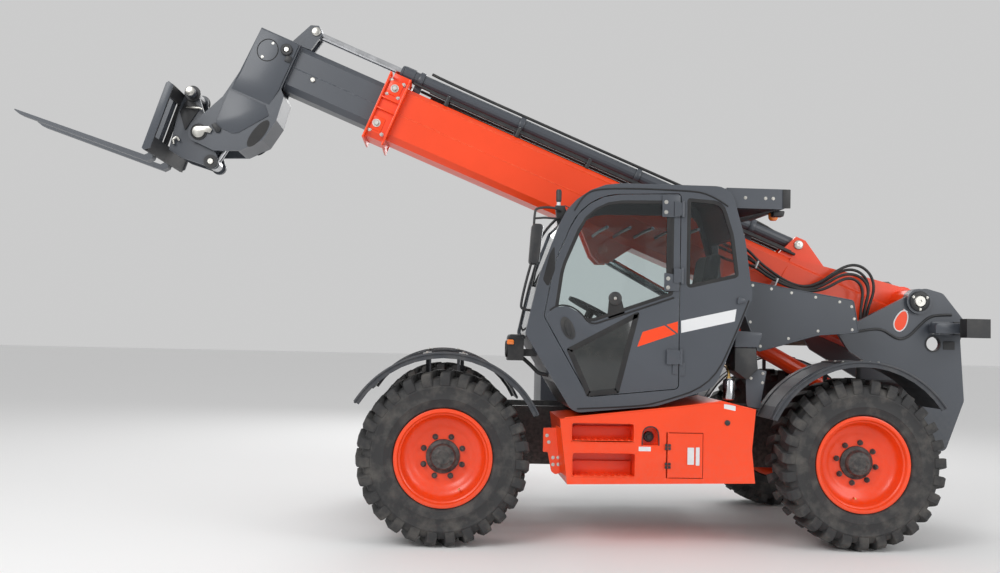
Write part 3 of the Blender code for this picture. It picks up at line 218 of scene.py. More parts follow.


# Each enamel's edge colour is paler than its body colour: a painted highlight along the edges.
orange = film_material("orange_enamel", enamel,
                       {"Colour": (0.90, 0.056, 0.0015, 1), "Painted edge": (0.95, 0.18, 0.05, 1), "Painted edge amount": 0.45, "Dust": 0.14,
                        "Gloss": 0.36}, Coat_Weight=0.2, Coat_Roughness=0.12)
slate = film_material("slate_enamel", enamel,
                      {"Colour": (0.060, 0.068, 0.082, 1), "Painted edge": (0.18, 0.195, 0.215, 1), "Painted edge amount": 0.6, "Dust": 0.22,
                       "Gloss": 0.42}, Coat_Weight=0.2, Coat_Roughness=0.2)
black_enamel = film_material("black_enamel", enamel,
                             {"Colour": (0.016, 0.017, 0.019, 1), "Painted edge": (0.09, 0.09, 0.095, 1), "Painted edge amount": 0.6,
                              "Dust": 0.55, "Gloss": 0.5}, Coat_Weight=0.1, Coat_Roughness=0.3)

# ---------------------------------------------------------------- metal, plastic, rubber and glass
# Zinc-plated bolts and chromed rods, grained black plastic, tyre rubber with patches of dust,
# tinted safety glass and heat-browned exhaust steel.
metal_group, ins, outs = new_group(
    "bright_metal", [("Colour", "Color", (0.6, 0.6, 0.62, 1)), ("Gloss", "Float", 0.25), ("Brush", "Float", 60.0)],
    [("Colour", "Color"), ("Roughness", "Float"), ("Height", "Float")])
where = add_node(metal_group, "TexCoord").outputs["Object"]
cloud = add_node(metal_group, "TexNoise", Vector=where, Scale=18.0, Detail=5.0).outputs["Fac"]
lines = add_node(metal_group, "TexNoise", Vector=where, Scale=ins["Brush"], Detail=2.0).outputs["Fac"]
shade = add_node(metal_group, "HueSaturation", Value=ramp(metal_group, cloud, 0.3, 0.7, 0.82, 1.08),
                 Color=ins["Colour"])
metal_group.links.new(shade.outputs[0], outs["Colour"])
metal_group.links.new(add_node(metal_group, "Math", {"operation": "MULTIPLY_ADD"}, i0=cloud, i1=0.16,
                               i2=ins["Gloss"]).outputs[0], outs["Roughness"])
metal_group.links.new(lines, outs["Height"])
zinc = film_material("zinc_plate", metal_group, {"Colour": (0.62, 0.61, 0.57, 1), "Gloss": 0.26, "Brush": 300.0},
                     0.12, 0.001, Metallic=1.0)
chrome = film_material("rod_chrome", metal_group, {"Colour": (0.66, 0.67, 0.69, 1), "Gloss": 0.10, "Brush": 500.0},
                       0.03, 0.0005, Metallic=1.0)
brown_steel = film_material("browned_steel", metal_group, {"Colour": (0.25, 0.19, 0.16, 1), "Gloss": 0.42,
                                                           "Brush": 90.0}, 0.25, 0.002, Metallic=0.85)
brass = film_material("valve_brass", metal_group, {"Colour": (0.72, 0.48, 0.18, 1), "Gloss": 0.24, "Brush": 300.0},
                      0.1, 0.0005, Metallic=1.0)

grain_group, ins, outs = new_group(
    "moulded_grain", [("Colour", "Color", (0.03, 0.03, 0.03, 1)), ("Gloss", "Float", 0.55), ("Grain", "Float", 900.0),
                      ("Dust", "Float", 0.2)],
    [("Colour", "Color"), ("Roughness", "Float"), ("Height", "Float")])
where = add_node(grain_group, "TexCoord").outputs["Object"]
pebble = add_node(grain_group, "TexVoronoi", Vector=where, Scale=ins["Grain"]).outputs["Distance"]
haze = add_node(grain_group, "TexNoise", Vector=where, Scale=9.0, Detail=6.0, Roughness=0.6).outputs["Fac"]
settled = add_node(grain_group, "Math", {"operation": "MULTIPLY", "use_clamp": True},
                   i0=ramp(grain_group, haze, 0.45, 0.8), i1=ins["Dust"]).outputs[0]
grain_group.links.new(blend_colours(grain_group, settled, ins["Colour"], (0.30, 0.275, 0.24, 1)), outs["Colour"])
grain_group.links.new(add_node(grain_group, "Math", {"operation": "MULTIPLY_ADD", "use_clamp": True}, i0=haze,
                               i1=0.22, i2=ins["Gloss"]).outputs[0], outs["Roughness"])
grain_group.links.new(pebble, outs["Height"])
plastic = film_material("moulded_black", grain_group, {"Colour": (0.020, 0.021, 0.023, 1), "Gloss": 0.36,
                                                       "Grain": 700.0, "Dust": 0.12}, 0.10, 0.001)
arch_plastic = film_material("arch_plastic", grain_group, {"Colour": (0.040, 0.044, 0.052, 1), "Gloss": 0.38,
                                                           "Grain": 500.0, "Dust": 0.18}, 0.12, 0.001)
tread_rubber = film_material("tread_rubber", grain_group, {"Colour": (0.026, 0.026, 0.027, 1), "Gloss": 0.58,
                                                           "Grain": 260.0, "Dust": 0.30}, 0.22, 0.002)
hose_rubber = film_material("hose_rubber", grain_group, {"Colour": (0.016, 0.016, 0.017, 1), "Gloss": 0.40,
                                                         "Grain": 1200.0, "Dust": 0.12}, 0.15, 0.001)
seal_rubber = film_material("seal_rubber", grain_group, {"Colour": (0.010, 0.010, 0.011, 1), "Gloss": 0.50,
                                                         "Grain": 1500.0, "Dust": 0.05}, 0.08, 0.0005)


def clear_pane(title, tint, roughness):
    """Safety glass: plain transmission, with a faint ripple in its surface."""
    finish = film_material(title, grain_group, {"Colour": tint, "Gloss": roughness - 0.11, "Grain": 40.0,
                                                "Dust": 0.0}, 0.01, 0.0005)
    finish.node_tree.nodes["Principled BSDF"].inputs["Transmission Weight"].default_value = 1.0
    finish.node_tree.nodes["Principled BSDF"].inputs["IOR"].default_value = 1.35
    return finish


cab_glass = clear_pane("cab_glass", (0.80, 0.86, 0.86, 1), 0.02)
lamp_glass = clear_pane("lamp_glass", (0.95, 0.93, 0.88, 1), 0.08)
for node_name, finish in (
        ("outer_boom", orange), ("step_box", orange), ("service_hatch", orange), ("lift_barrel", orange),
        ("main_frame", black_enamel), ("axle_front", black_enamel), ("axle_rear", black_enamel),
        ("cab_floor", black_enamel), ("fork_carriage", black_enamel), ("engine_block", black_enamel),
        ("inner_boom", slate), ("boom_head", slate), ("hitch_frame", slate), ("fork_left", slate),
        ("fork_right", slate), ("tower_left", slate), ("tower_right", slate), ("rear_cover_left", slate),
        ("cab_side_left", slate), ("cab_side_right", slate), ("cab_front", slate), ("cab_roof", slate),
        ("cab_rear", slate), ("door_frame", slate), ("roof_box", slate), ("engine_tray", slate),
        ("engine_hood", slate), ("extension_barrel", slate), ("tilt_barrel", slate),
        ("knuckle_front_left", black_enamel), ("knuckle_front_right", black_enamel),
        ("knuckle_rear_left", black_enamel), ("knuckle_rear_right", black_enamel),
        ("fender_front_left", arch_plastic), ("fender_front_right", arch_plastic),
        ("fender_rear_left", arch_plastic), ("fender_rear_right", arch_plastic),
        ("extension_rod", chrome), ("lift_rod", chrome), ("tilt_rod", chrome), ("exhaust_pipe", brown_steel),
        ("windscreen", cab_glass), ("quarter_glass", cab_glass), ("right_glass", cab_glass),
        ("rear_glass", cab_glass), ("door_window", cab_glass), ("tail_lamp_bar", plastic), ("mirror", plastic),
        ("front_lamp", plastic), ("steering_column", plastic)):
    frame["nodes"][node_name].material_slots[0].material = finish


def finished(thing, name, body, finish, angle=35):
    """A piece made ready: place in its mesh, finish on, smooth below the angle, riding on its body."""
    square_up(thing)
    thing.name = thing.data.name = name
    thing.data.materials.clear()
    thing.data.materials.append(finish)
    bpy.ops.object.shade_smooth_by_angle(angle=math.radians(angle))
    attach(thing, body)
    return thing


def ring_of(points, filled=True):
    """A new mesh ring with its corners at the given points, filled or open, with all of it selected in edit mode."""
    clear_selection()
    bpy.ops.mesh.primitive_circle_add(vertices=len(points), fill_type="NGON" if filled else "NOTHING")
    ring = bpy.context.object
    for corner, place in zip(ring.data.vertices, points):
        corner.co = place
    bpy.ops.object.mode_set(mode="EDIT")
    bpy.ops.mesh.select_all(action="SELECT")
    return ring


def close_up():
    """Merges doubles, turns the faces outwards and leaves edit mode."""
    bpy.ops.mesh.select_all(action="SELECT")
    bpy.ops.mesh.remove_doubles(threshold=0.00002)
    bpy.ops.mesh.normals_make_consistent(inside=False)
    bpy.ops.object.mode_set(mode="OBJECT")


def soften(thing, width, segments=2, angle=40):
    """Rounded edges by an applied Bevel."""
    clear_selection()
    thing.select_set(True)
    bpy.context.view_layer.objects.active = thing
    edge_round = thing.modifiers.new("edge_round", "BEVEL")
    edge_round.width, edge_round.segments = width, segments
    edge_round.limit_method, edge_round.angle_limit = "ANGLE", math.radians(angle)
    edge_round.use_clamp_overlap = True
    bpy.ops.object.modifier_apply(modifier="edge_round")
    return thing


def run_out(points, way, bevel=0.0, segments=2):
    """A flat outline run out along a vector into a closed solid, with its edges rounded."""
    solid = ring_of([Vector(point) for point in points])
    bpy.ops.mesh.extrude_region_move(TRANSFORM_OT_translate={"value": way})
    close_up()
    return soften(solid, bevel, segments) if bevel else solid


def spun(ring, centre, steps=64, axis=(0, 1, 0)):
    """A closed ring of (radius, distance along the axis) points spun round an axis through centre."""
    line = Vector(axis).normalized()
    outward = line.orthogonal().normalized()
    solid = ring_of([line * along_axis + outward * radius for radius, along_axis in ring], filled=False)
    bpy.ops.mesh.spin(steps=steps, angle=2 * math.pi, center=(0, 0, 0), axis=line)
    close_up()
    solid.location = centre
    square_up(solid)
    return solid


def joined(parts):
    clear_selection()
    for thing in parts:
        thing.select_set(True)
    bpy.context.view_layer.objects.active = parts[0]
    bpy.ops.object.join()
    return parts[0]


def twin(thing, matrix):
    """A copy with its own mesh, moved by the matrix; a mirrored copy has its faces turned back outwards."""
    copy = thing.copy()
    copy.data = thing.data.copy()
    bpy.context.collection.objects.link(copy)
    copy.data.transform(matrix)
    if matrix.determinant() < 0:
        copy.data.flip_normals()
    return copy


half_tyre = [(0.335, 0.156), (0.340, 0.172), (0.346, 0.180), (0.352, 0.1835), (0.356, 0.1835), (0.360, 0.186),
             (0.392, 0.1945), (0.397, 0.1985), (0.403, 0.1985), (0.408, 0.1965), (0.438, 0.1985),
             (0.470, 0.1975), (0.476, 0.2005), (0.484, 0.1995), (0.490, 0.1945), (0.515, 0.186),
             (0.534, 0.168), (0.543, 0.120), (0.546, 0.0)]
carcass = spun([(0.300, -0.146)] + [(r, -w) for r, w in half_tyre] + [(r, w) for r, w in half_tyre[-2::-1]]
               + [(0.300, 0.146)], (0, 0, 0), 96)
lug_outline = [(0.006, 0.540), (0.010, 0.583), (0.150, 0.584), (0.186, 0.575), (0.2035, 0.552), (0.2045, 0.520),
               (0.200, 0.486), (0.190, 0.484), (0.170, 0.520), (0.140, 0.535)]
lugs = []
for hand in (-1, 1):
    lug = run_out([(-0.030, hand * w, r) for w, r in lug_outline], (0.060, 0, 0))
    for corner in lug.data.vertices:
        reach = abs(corner.co.y) / 0.2
        corner.co.x = corner.co.x * (0.78 + 0.34 * reach) + 0.058 * (1 - reach)
    soften(lug, 0.0045, 1)
    bpy.ops.object.mode_set(mode="EDIT")
    bpy.ops.mesh.select_all(action="SELECT")
    bpy.ops.mesh.spin(steps=26, dupli=True, angle=2 * math.pi * 26 / 27, center=(0, 0, 0), axis=(0, 1, 0))
    bpy.ops.object.mode_set(mode="OBJECT")
    if hand > 0:
        lug.rotation_euler.y = math.pi / 27
    square_up(lug)
    lugs.append(lug)
tyre_pattern = joined([carcass] + lugs)
rim_face = [(0.302, 0.142), (0.318, 0.148), (0.331, 0.152), (0.3345, 0.160), (0.332, 0.170), (0.322, 0.174),
            (0.309, 0.171), (0.303, 0.163), (0.299, 0.152), (0.290, 0.148), (0.286, 0.140), (0.284, 0.110),
            (0.276, 0.082), (0.258, 0.062), (0.232, 0.050), (0.212, 0.046), (0.204, 0.040), (0.176, 0.032),
            (0.130, 0.034), (0.0, 0.034)]
rim_back = [(0.0, 0.014), (0.17, 0.012), (0.21, 0.020), (0.25, 0.034), (0.268, 0.060), (0.272, 0.0),
            (0.272, -0.120), (0.290, -0.158), (0.318, -0.172), (0.331, -0.170), (0.334, -0.160), (0.328, -0.150),
            (0.300, -0.142), (0.284, -0.110), (0.280, 0.0), (0.288, 0.110)]
rim_pattern = spun([(r, -w) for r, w in rim_face + rim_back], (0, 0, 0), 80)
cap_parts = [spun([(0.0, -0.0345), (0.116, -0.0345), (0.116, -0.046), (0.110, -0.052), (0.094, -0.055),
                   (0.088, -0.060), (0.086, -0.092), (0.078, -0.101), (0.050, -0.104), (0.046, -0.108),
                   (0.0, -0.108)], (0, 0, 0), 48)]
for number in range(8):
    turn = math.radians(22.5 + 45 * number)
    spot = (0.142 * math.cos(turn), 0, 0.142 * math.sin(turn))
    cap_parts.append(spun([(0.0, -0.0345), (0.020, -0.0345), (0.020, -0.039), (0.0, -0.039)], spot, 20))
    nut = spun([(0.0, -0.0385), (0.0155, -0.0385), (0.0160, -0.056), (0.0135, -0.059), (0.0, -0.059)], spot, 6)
    cap_parts += [nut, spun([(0.0, -0.058), (0.0075, -0.058), (0.0075, -0.070), (0.006, -0.072), (0.0, -0.072)],
                            spot, 12)]
for number in range(5):
    turn = math.radians(40 + 72 * number)
    spot = (0.066 * math.cos(turn), 0, 0.066 * math.sin(turn))
    cap_parts.append(spun([(0.0, -0.102), (0.006, -0.102), (0.006, -0.107), (0.0, -0.1075)], spot, 6))
cap_pattern = joined(cap_parts)
valve_turn = math.radians(-62)
valve_spot = Vector((0.243 * math.cos(valve_turn), 0, 0.243 * math.sin(valve_turn)))
valve_pattern = spun([(0.0, -0.050), (0.005, -0.050), (0.005, -0.086), (0.0065, -0.087), (0.0065, -0.098),
                      (0.004, -0.100), (0.0, -0.100)], valve_spot, 16)
wheel_tags = ("front_left", "front_right", "rear_left", "rear_right")
for number, tag in enumerate(wheel_tags):
    low, high = (Vector(corner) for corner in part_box(f"tyre_{tag}"))
    hub_centre = (low + high) / 2
    flip = Matrix.Scale(-1, 4, (0, 1, 0)) if tag.endswith("right") else Matrix.Identity(4)
    turned_wheel = Matrix.Rotation(math.radians(17 * number), 4, "Y")
    stand = Matrix.Translation(hub_centre) @ flip @ turned_wheel
    tyre = finished(twin(tyre_pattern, stand), f"tyre_{tag}_tread", f"wheel_{tag}", tread_rubber, 32)
    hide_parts(f"tyre_{tag}")
    rim = finished(twin(rim_pattern, stand), f"rim_{tag}_dish", f"wheel_{tag}", orange, 40)
    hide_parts(f"rim_{tag}")
    finished(twin(cap_pattern, stand), f"hub_{tag}_cap", f"wheel_{tag}", black_enamel, 40)
    finished(twin(valve_pattern, stand), f"valve_{tag}", f"wheel_{tag}", brass)
clear_selection()
for pattern in (tyre_pattern, rim_pattern, cap_pattern, valve_pattern):
    bpy.data.objects.remove(pattern, do_unlink=True)

# ---------------------------------------------------------------- mudguards
# Dark moulded guards that steer with the wheels.  Each gets a rolled outer lip, two pressed ribs along
# its back and the bolted ends of its two carrying bars.
def tube(points, radius, sides=3):
    """A smooth round tube through a few points, made from a path curve and turned into a mesh."""
    clear_selection()
    bpy.ops.curve.primitive_nurbs_path_add()
    line = bpy.context.object
    while len(points) < 5:
        middle = [(Vector(a) + Vector(b)) / 2 for a, b in zip(points, points[1:])]
        points = [p for pair in zip(points, middle) for p in pair] + [points[-1]]
    spline = line.data.splines[0]
    spline.points.add(len(points) - len(spline.points))
    for knot, place in zip(spline.points, points):
        knot.co = (*place, 1)
    spline.order_u, spline.use_endpoint_u, spline.resolution_u = 3, True, 4
    line.data.bevel_depth, line.data.bevel_resolution, line.data.use_fill_caps = radius, sides, True
    bpy.ops.object.convert(target="MESH")
    return bpy.context.object


def bolt_head(spot, way, size=0.010, height=0.007):
    """A hexagon head on its washer, standing on spot and pointing along way."""
    washer = spun([(0, 0), (size * 1.5, 0), (size * 1.5, height * 0.22), (0, height * 0.22)], spot, 16, way)
    head = spun([(0, height * 0.2), (size * 1.04, height * 0.2), (size * 1.04, height * 0.86), (size * 0.86, height),
                 (0, height)], spot, 6, way)
    return joined([washer, head])


def bolt_row(name, spots, way, body, finish=None, size=0.010, height=0.007):
    """Like bolts on one panel, modelled once and copied."""
    first = bolt_head((0, 0, 0), way, size, height)
    heads = [twin(first, Matrix.Translation(spot)) for spot in spots]
    bpy.data.objects.remove(first, do_unlink=True)
    return finished(joined(heads), name, body, finish or zinc, 30)


for tag in wheel_tags:
    low, high = (Vector(corner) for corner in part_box(f"tyre_{tag}"))
    hub_centre = (low + high) / 2
    side = -1 if tag.endswith("left") else 1
    first, last = (25.5, 148.5) if tag.startswith("front") else (34.5, 154.5)
    knuckle = f"knuckle_body_{tag}"
    turns = [math.radians(first + (last - first) * step / 40) for step in range(41)]
    lip_parts = []
    for reach, width, thick in ((0.7035, 1.105, 0.0085), (0.7050, 1.045, 0.0050), (0.7050, 0.775, 0.0050)):
        lip_parts.append(tube([(hub_centre.x + reach * math.cos(turn), side * width,
                                hub_centre.z + reach * math.sin(turn)) for turn in turns], thick))
    finished(joined(lip_parts), f"guard_lip_{tag}", knuckle, arch_plastic, 60)
    pads, heads = [], []
    for x in (-0.1255, 0.1258):
        z = math.sqrt(0.705 ** 2 - x * x)
        pads.append(run_out([(hub_centre.x + x + dx, side * 0.71, hub_centre.z + z - 0.005 + 0.16 * -dx * x / 0.1255)
                             for dx in (-0.03, 0.03)]
                            + [(hub_centre.x + x + dx, side * 0.71, hub_centre.z + z + 0.008 - 0.16 * dx * x / 0.1255)
                               for dx in (0.03, -0.03)], (0, side * 0.36, 0), 0.002))
        heads += [(hub_centre.x + x, side * y, hub_centre.z + z + 0.006) for y in (0.75, 0.90, 1.04)]
    finished(joined(pads), f"guard_straps_{tag}", knuckle, black_enamel)
    bolt_row(f"guard_bolts_{tag}", heads, (0, 0, 1), knuckle, size=0.009, height=0.008)

# ---------------------------------------------------------------- boom: outer section
# Welded box of folded orange plate.  Added here: the fold line along each side, weld beads, the front
# collar with its flanges, ribs and big slide-pad bolts, and the rear perch for the extension cylinder.
hinges = {joint["name"]: Vector(joint["pos_m"]) for joint in frame["joints"] if joint["type"] == "hinge"}
lean = math.radians(22.15)
boom_way = Vector((-math.cos(lean), 0, math.sin(lean)))
boom_up = Vector((math.sin(lean), 0, math.cos(lean)))


def on_boom(u, y, n):
    """A point u forward of the boom pivot, y across and n above the boom's own line."""
    return hinges["boom_lift"] + boom_way * u + boom_up * n + Vector((0, y, 0))


def boom_block(u0, u1, y0, y1, n0, n1, bevel=0.003):
    """A squared plate in the boom's axes."""
    return run_out([on_boom(u0, y0, n0), on_boom(u1, y0, n0), on_boom(u1, y0, n1), on_boom(u0, y0, n1)],
                   (0, y1 - y0, 0), bevel)


folds = []
for side in (-1, 1):
    for n, start, end in ((-0.250, 0.98, 4.19), (-0.075, 1.35, 4.19)):
        folds.append(run_out([on_boom(start, side * 0.1695, n + 0.006), on_boom(start, side * 0.1725, n),
                              on_boom(start, side * 0.1695, n - 0.006)], boom_way * (end - start)))
    folds.append(tube([on_boom(0.60, side * 0.156, -0.40), on_boom(0.93, side * 0.158, -0.36),
                       on_boom(0.97, side * 0.171, -0.25), on_boom(0.96, side * 0.171, -0.10),
                       on_boom(0.93, side * 0.157, -0.06)], 0.004))
finished(joined(folds), "boom_fold_lines", "boom", orange)
collar = []
for u, proud in ((4.212, 0.034), (4.372, 0.030)):
    for side in (-1, 1):
        collar.append(boom_block(u - 0.008, u + 0.008, side * 0.188, side * (0.196 + proud), -0.515, 0.018))
    collar.append(boom_block(u - 0.008, u + 0.008, -0.200 - proud, 0.200 + proud, -0.010, 0.022))
    collar.append(boom_block(u - 0.008, u + 0.008, -0.200 - proud, 0.200 + proud, -0.528, -0.494))
for side in (-1, 1):
    for n in (-0.18, -0.27):
        collar.append(boom_block(4.215, 4.370, side * 0.190, side * 0.222, n - 0.006, n + 0.006))
    for u, n in ((4.30, -0.085), (4.32, -0.385)):
        collar.append(boom_block(u - 0.055, u + 0.055, side * 0.190, side * 0.204, n - 0.055, n + 0.055, 0.006))
for y in (-0.09, 0.09):
    collar.append(boom_block(4.22, 4.36, y - 0.016, y + 0.016, -0.010, 0.050, 0.006))
finished(joined(collar), "boom_collar_flanges", "boom", orange)
for side in (-1, 1):
    hand = "left" if side < 0 else "right"
    bolt_row(f"slide_pad_bolts_{hand}", [on_boom(4.30, side * 0.204, -0.085), on_boom(4.32, side * 0.204, -0.385)],
             (0, side, 0), "boom", size=0.021, height=0.022)
    bolt_row(f"collar_bolts_{hand}", [on_boom(u, side * 0.196, n) for u, n in
                                      ((4.25, -0.14), (4.34, -0.14), (4.25, -0.45), (4.35, -0.45), (4.25, -0.03),
                                       (4.35, -0.03))], (0, side, 0), "boom", size=0.010, height=0.009)
    finished(spun([(0, 0), (0.036, 0), (0.036, 0.010), (0.030, 0.014), (0.012, 0.014), (0.010, 0.010), (0, 0.010)],
                  on_boom(0.917, side * 0.095, 0.098), 40, (0, side, 0)), f"perch_pin_{hand}", "boom", zinc)
bolt_row("perch_bolts", [on_boom(u, -0.156, n) for u, n in ((0.62, -0.10), (0.70, -0.15), (0.55, -0.17))], (0, -1, 0),
         "boom", size=0.009)

# ---------------------------------------------------------------- extension cylinder and boom pipes
# The cylinder on top of the boom that runs the inner section out: clamped barrel, bright gland, and
# steel oil pipes with saddle clamps that run beside it to the collar.
barrel_rings = [spun([(0.0525, -0.02), (0.064, -0.02), (0.066, -0.016), (0.066, 0.016), (0.064, 0.02),
                      (0.0525, 0.02)], on_boom(u, 0, 0.098), 48, boom_way) for u in (1.30, 2.30, 3.30, 4.16)]
barrel_rings.append(spun([(0.034, 0.0), (0.058, 0.0), (0.058, 0.012), (0.052, 0.020), (0.034, 0.020)],
                         on_boom(4.312, 0, 0.098), 48, boom_way))
for u in (1.30, 2.30, 3.30, 4.16):
    barrel_rings.append(boom_block(u - 0.03, u + 0.03, -0.045, 0.045, -0.034, 0.045, 0.006))
finished(joined(barrel_rings), "extension_clamps", "boom", slate)
pipes = []
for y, n, start, end in ((-0.085, 0.030, 1.05, 4.20), (-0.115, 0.012, 1.02, 4.05), (0.085, 0.030, 1.05, 4.20),
                         (0.115, 0.012, 1.02, 4.05), (-0.022, 0.166, 1.10, 4.10)):
    pipes.append(tube([on_boom(start - 0.10, y, min(n, 0.10)), on_boom(start, y, n), on_boom((start + end) / 2, y, n),
                       on_boom(end - 0.1, y, n), on_boom(end, y * 0.9, n + 0.01)], 0.0115))
finished(joined(pipes), "boom_oil_pipes", "boom", plastic, 60)
saddles = []
for u in (1.50, 2.10, 2.70, 3.30, 3.90):
    for side in (-1, 1):
        saddles.append(boom_block(u - 0.014, u + 0.014, side * 0.068, side * 0.134, -0.036, 0.046, 0.005))
finished(joined(saddles), "pipe_saddles", "boom", plastic)
bolt_row("saddle_bolts", [on_boom(u, side * 0.101, 0.046) for u in (1.50, 2.10, 2.70, 3.30, 3.90)
                          for side in (-1, 1)], boom_up, "boom", size=0.007, height=0.006)
finished(joined([spun([(0, 0), (0.034, 0), (0.034, 0.012), (0.028, 0.016), (0, 0.016)],
                      on_boom(5.048, side * 0.0855, 0.098), 32, (0, side, 0)) for side in (-1, 1)]),
         "extension_front_pin_caps", "inner_boom_body", zinc)

# ---------------------------------------------------------------- boom: inner section and head
# Slate inner section with its fold line, and the goose-neck head: thick doubled cheeks with a sloping
# step, a raised lower plate, a round access cover, the tilt pin's boss and the keeper on the hitch pivot.
folds = []
for side in (-1, 1):
    folds.append(run_out([on_boom(3.95, side * 0.1425, -0.236), on_boom(3.95, side * 0.1455, -0.242),
                          on_boom(3.95, side * 0.1425, -0.248)], boom_way * 1.13))
    folds.append(tube([on_boom(5.085, side * 0.146, n) for n in (-0.41, -0.32, -0.24, -0.16, -0.08)], 0.005))
finished(joined(folds), "inner_boom_fold_lines", "inner_boom_body", slate)
cheeks, rims = [], []
for side in (-1, 1):
    cheek = run_out([on_boom(5.100, side * 0.1895, -0.070), on_boom(5.100, side * 0.2030, -0.076),
                     on_boom(5.100, side * 0.2030, -0.450), on_boom(5.100, side * 0.1905, -0.590),
                     on_boom(5.100, side * 0.1860, -0.590), on_boom(5.100, side * 0.1860, -0.070)], boom_way * 0.312)
    for corner in cheek.data.vertices:
        n = (corner.co - hinges["boom_lift"]).dot(boom_up)
        corner.co += boom_way * (0.15 * max(0.0, -0.45 - n))
    cheeks.append(soften(cheek, 0.004))
    lower = [(5.440, -0.602), (5.145, -0.602), (5.088, -0.665), (5.245, -0.880), (5.285, -0.902), (5.395, -0.900),
             (5.425, -0.885), (5.434, -0.850)]
    cheeks.append(run_out([on_boom(u, side * 0.1885, n) for u, n in lower], (0, side * 0.0085, 0), 0.003))
    rims.append(tube([on_boom(5.299 + 0.078 * math.cos(math.radians(a)), side * 0.2035,
                              -0.209 + 0.086 * math.sin(math.radians(a))) for a in range(0, 361, 12)], 0.0032))
    oval = [(5.106 - 0.0192 * math.sin(math.radians(a)) * 1.6 + 0.042 * math.cos(math.radians(a)),
             -0.823 + 0.122 * math.sin(math.radians(a)) + 0.010 * math.cos(math.radians(a)))
            for a in range(0, 360, 10)]
    rims.append(run_out([on_boom(u, side * 0.1890, n) for u, n in oval], (0, side * 0.0035, 0)))
finished(joined(cheeks), "head_cheek_plates", "inner_boom_body", slate)
finished(joined(rims), "head_cover_seals", "inner_boom_body", seal_rubber)
bosses = []
for side in (-1, 1):
    bosses.append(spun([(0.022, 0), (0.045, 0), (0.045, 0.016), (0.040, 0.022), (0.024, 0.022)],
                       on_boom(5.168, side * 0.2025, -0.150), 40, (0, side, 0)))
    bosses.append(boom_block(5.105, 5.150, side * 0.203, side * 0.214, -0.235, -0.185, 0.004))
    bosses.append(spun([(0.030, 0), (0.062, 0), (0.062, 0.006), (0.056, 0.010), (0.030, 0.010)],
                       on_boom(5.517, side * 0.190, -0.993), 48, (0, side, 0)))
    bracket = [(5.400, -0.945), (5.452, -0.905), (5.430, -0.880), (5.372, -0.905), (5.372, -0.935)]
    bosses.append(run_out([on_boom(u, side * 0.1895, n) for u, n in bracket], (0, side * 0.018, 0), 0.003))
finished(joined(bosses), "head_bosses", "inner_boom_body", black_enamel)
bright = []
for side in (-1, 1):
    bright.append(spun([(0, 0), (0.021, 0), (0.021, 0.020), (0.017, 0.025), (0.006, 0.025), (0.005, 0.022),
                        (0, 0.022)], on_boom(5.168, side * 0.2030, -0.150), 32, (0, side, 0)))
    keeper = [(5.517 + 0.046 * math.cos(math.radians(a)), -0.993 + 0.046 * math.sin(math.radians(a)))
              for a in range(160, 401, 15)] + [(5.462, -0.925), (5.428, -0.935), (5.432, -0.968)]
    bright.append(run_out([on_boom(u, side * 0.2005, n) for u, n in keeper], (0, side * 0.011, 0), 0.003))
    bright.append(spun([(0, 0), (0.019, 0), (0.019, 0.012), (0.015, 0.015), (0, 0.015)],
                       on_boom(4.908, side * 0.1425, -0.269), 24, (0, side, 0)))
finished(joined(bright), "head_pins", "inner_boom_body", zinc)
for side in (-1, 1):
    hand = "left" if side < 0 else "right"
    bolt_row(f"head_cover_screws_{hand}", [on_boom(u, side * 0.203, n) for u, n in ((5.283, -0.145), (5.315, -0.273),
                                                                                    (5.447, -0.948))],
             (0, side, 0), "inner_boom_body", size=0.007, height=0.006)

# ---------------------------------------------------------------- quick hitch, carriage and forks
# The hitch swings on the head's lower pin and holds the carriage at a top boss and a lower lock.  The
# carriage is a black bar frame with bevelled end bars, fork stops and a locking lever.
tip = math.radians(18.0)
carriage_way = Vector((-math.cos(tip), 0, math.sin(tip)))
carriage_up = Vector((math.sin(tip), 0, math.cos(tip)))


def on_carriage(forward, y, up):
    """A point in the fork carriage's own axes, from its pivot."""
    return hinges["carriage_tilt"] + carriage_way * forward + carriage_up * up + Vector((0, y, 0))


def carriage_block(f0, f1, y0, y1, up0, up1, bevel=0.003):
    return run_out([on_carriage(f0, y0, up0), on_carriage(f1, y0, up0), on_carriage(f1, y0, up1),
                    on_carriage(f0, y0, up1)], (0, y1 - y0, 0), bevel)


bars = []
for side in (-1, 1):
    end_bar = [(0.196, -0.262), (0.233, -0.292), (0.252, -0.282), (0.252, 0.225), (0.238, 0.243), (0.196, 0.228)]
    bars.append(run_out([on_carriage(f, side * 0.5005, up) for f, up in end_bar], (0, side * 0.016, 0), 0.003))
finished(joined(bars), "carriage_end_bars", "carriage", slate)
frame_bits = [carriage_block(0.2355, 0.247, -0.49, 0.49, 0.205, 0.231), carriage_block(0.2355, 0.243, -0.49, -0.28, -0.285, -0.262)]
for side in (-1, 1):
    frame_bits.append(spun([(0.0385, 0), (0.058, 0), (0.060, 0.004), (0.060, 0.020), (0.056, 0.024), (0.0385, 0.024)],
                           on_carriage(0.150, side * 0.1555, 0.262), 40, (0, side, 0)))
    frame_bits.append(run_out([on_carriage(f, side * 0.1555, up) for f, up in
                               ((0.060, 0.175), (0.150, 0.225), (0.175, 0.205), (0.195, 0.10), (0.110, -0.02))],
                              (0, side * 0.012, 0), 0.003))
    frame_bits.append(spun([(0.026, 0), (0.050, 0), (0.052, 0.004), (0.052, 0.016), (0.026, 0.016)],
                           on_carriage(-0.153, side * 0.1555, -0.180), 40, (0, side, 0)))
for y in (-0.30, 0.14, -0.14, 0.30):
    frame_bits.append(carriage_block(0.236, 0.262, y - 0.012, y + 0.012, 0.208, 0.238, 0.004))
finished(joined(frame_bits), "hitch_bosses", "carriage", black_enamel)
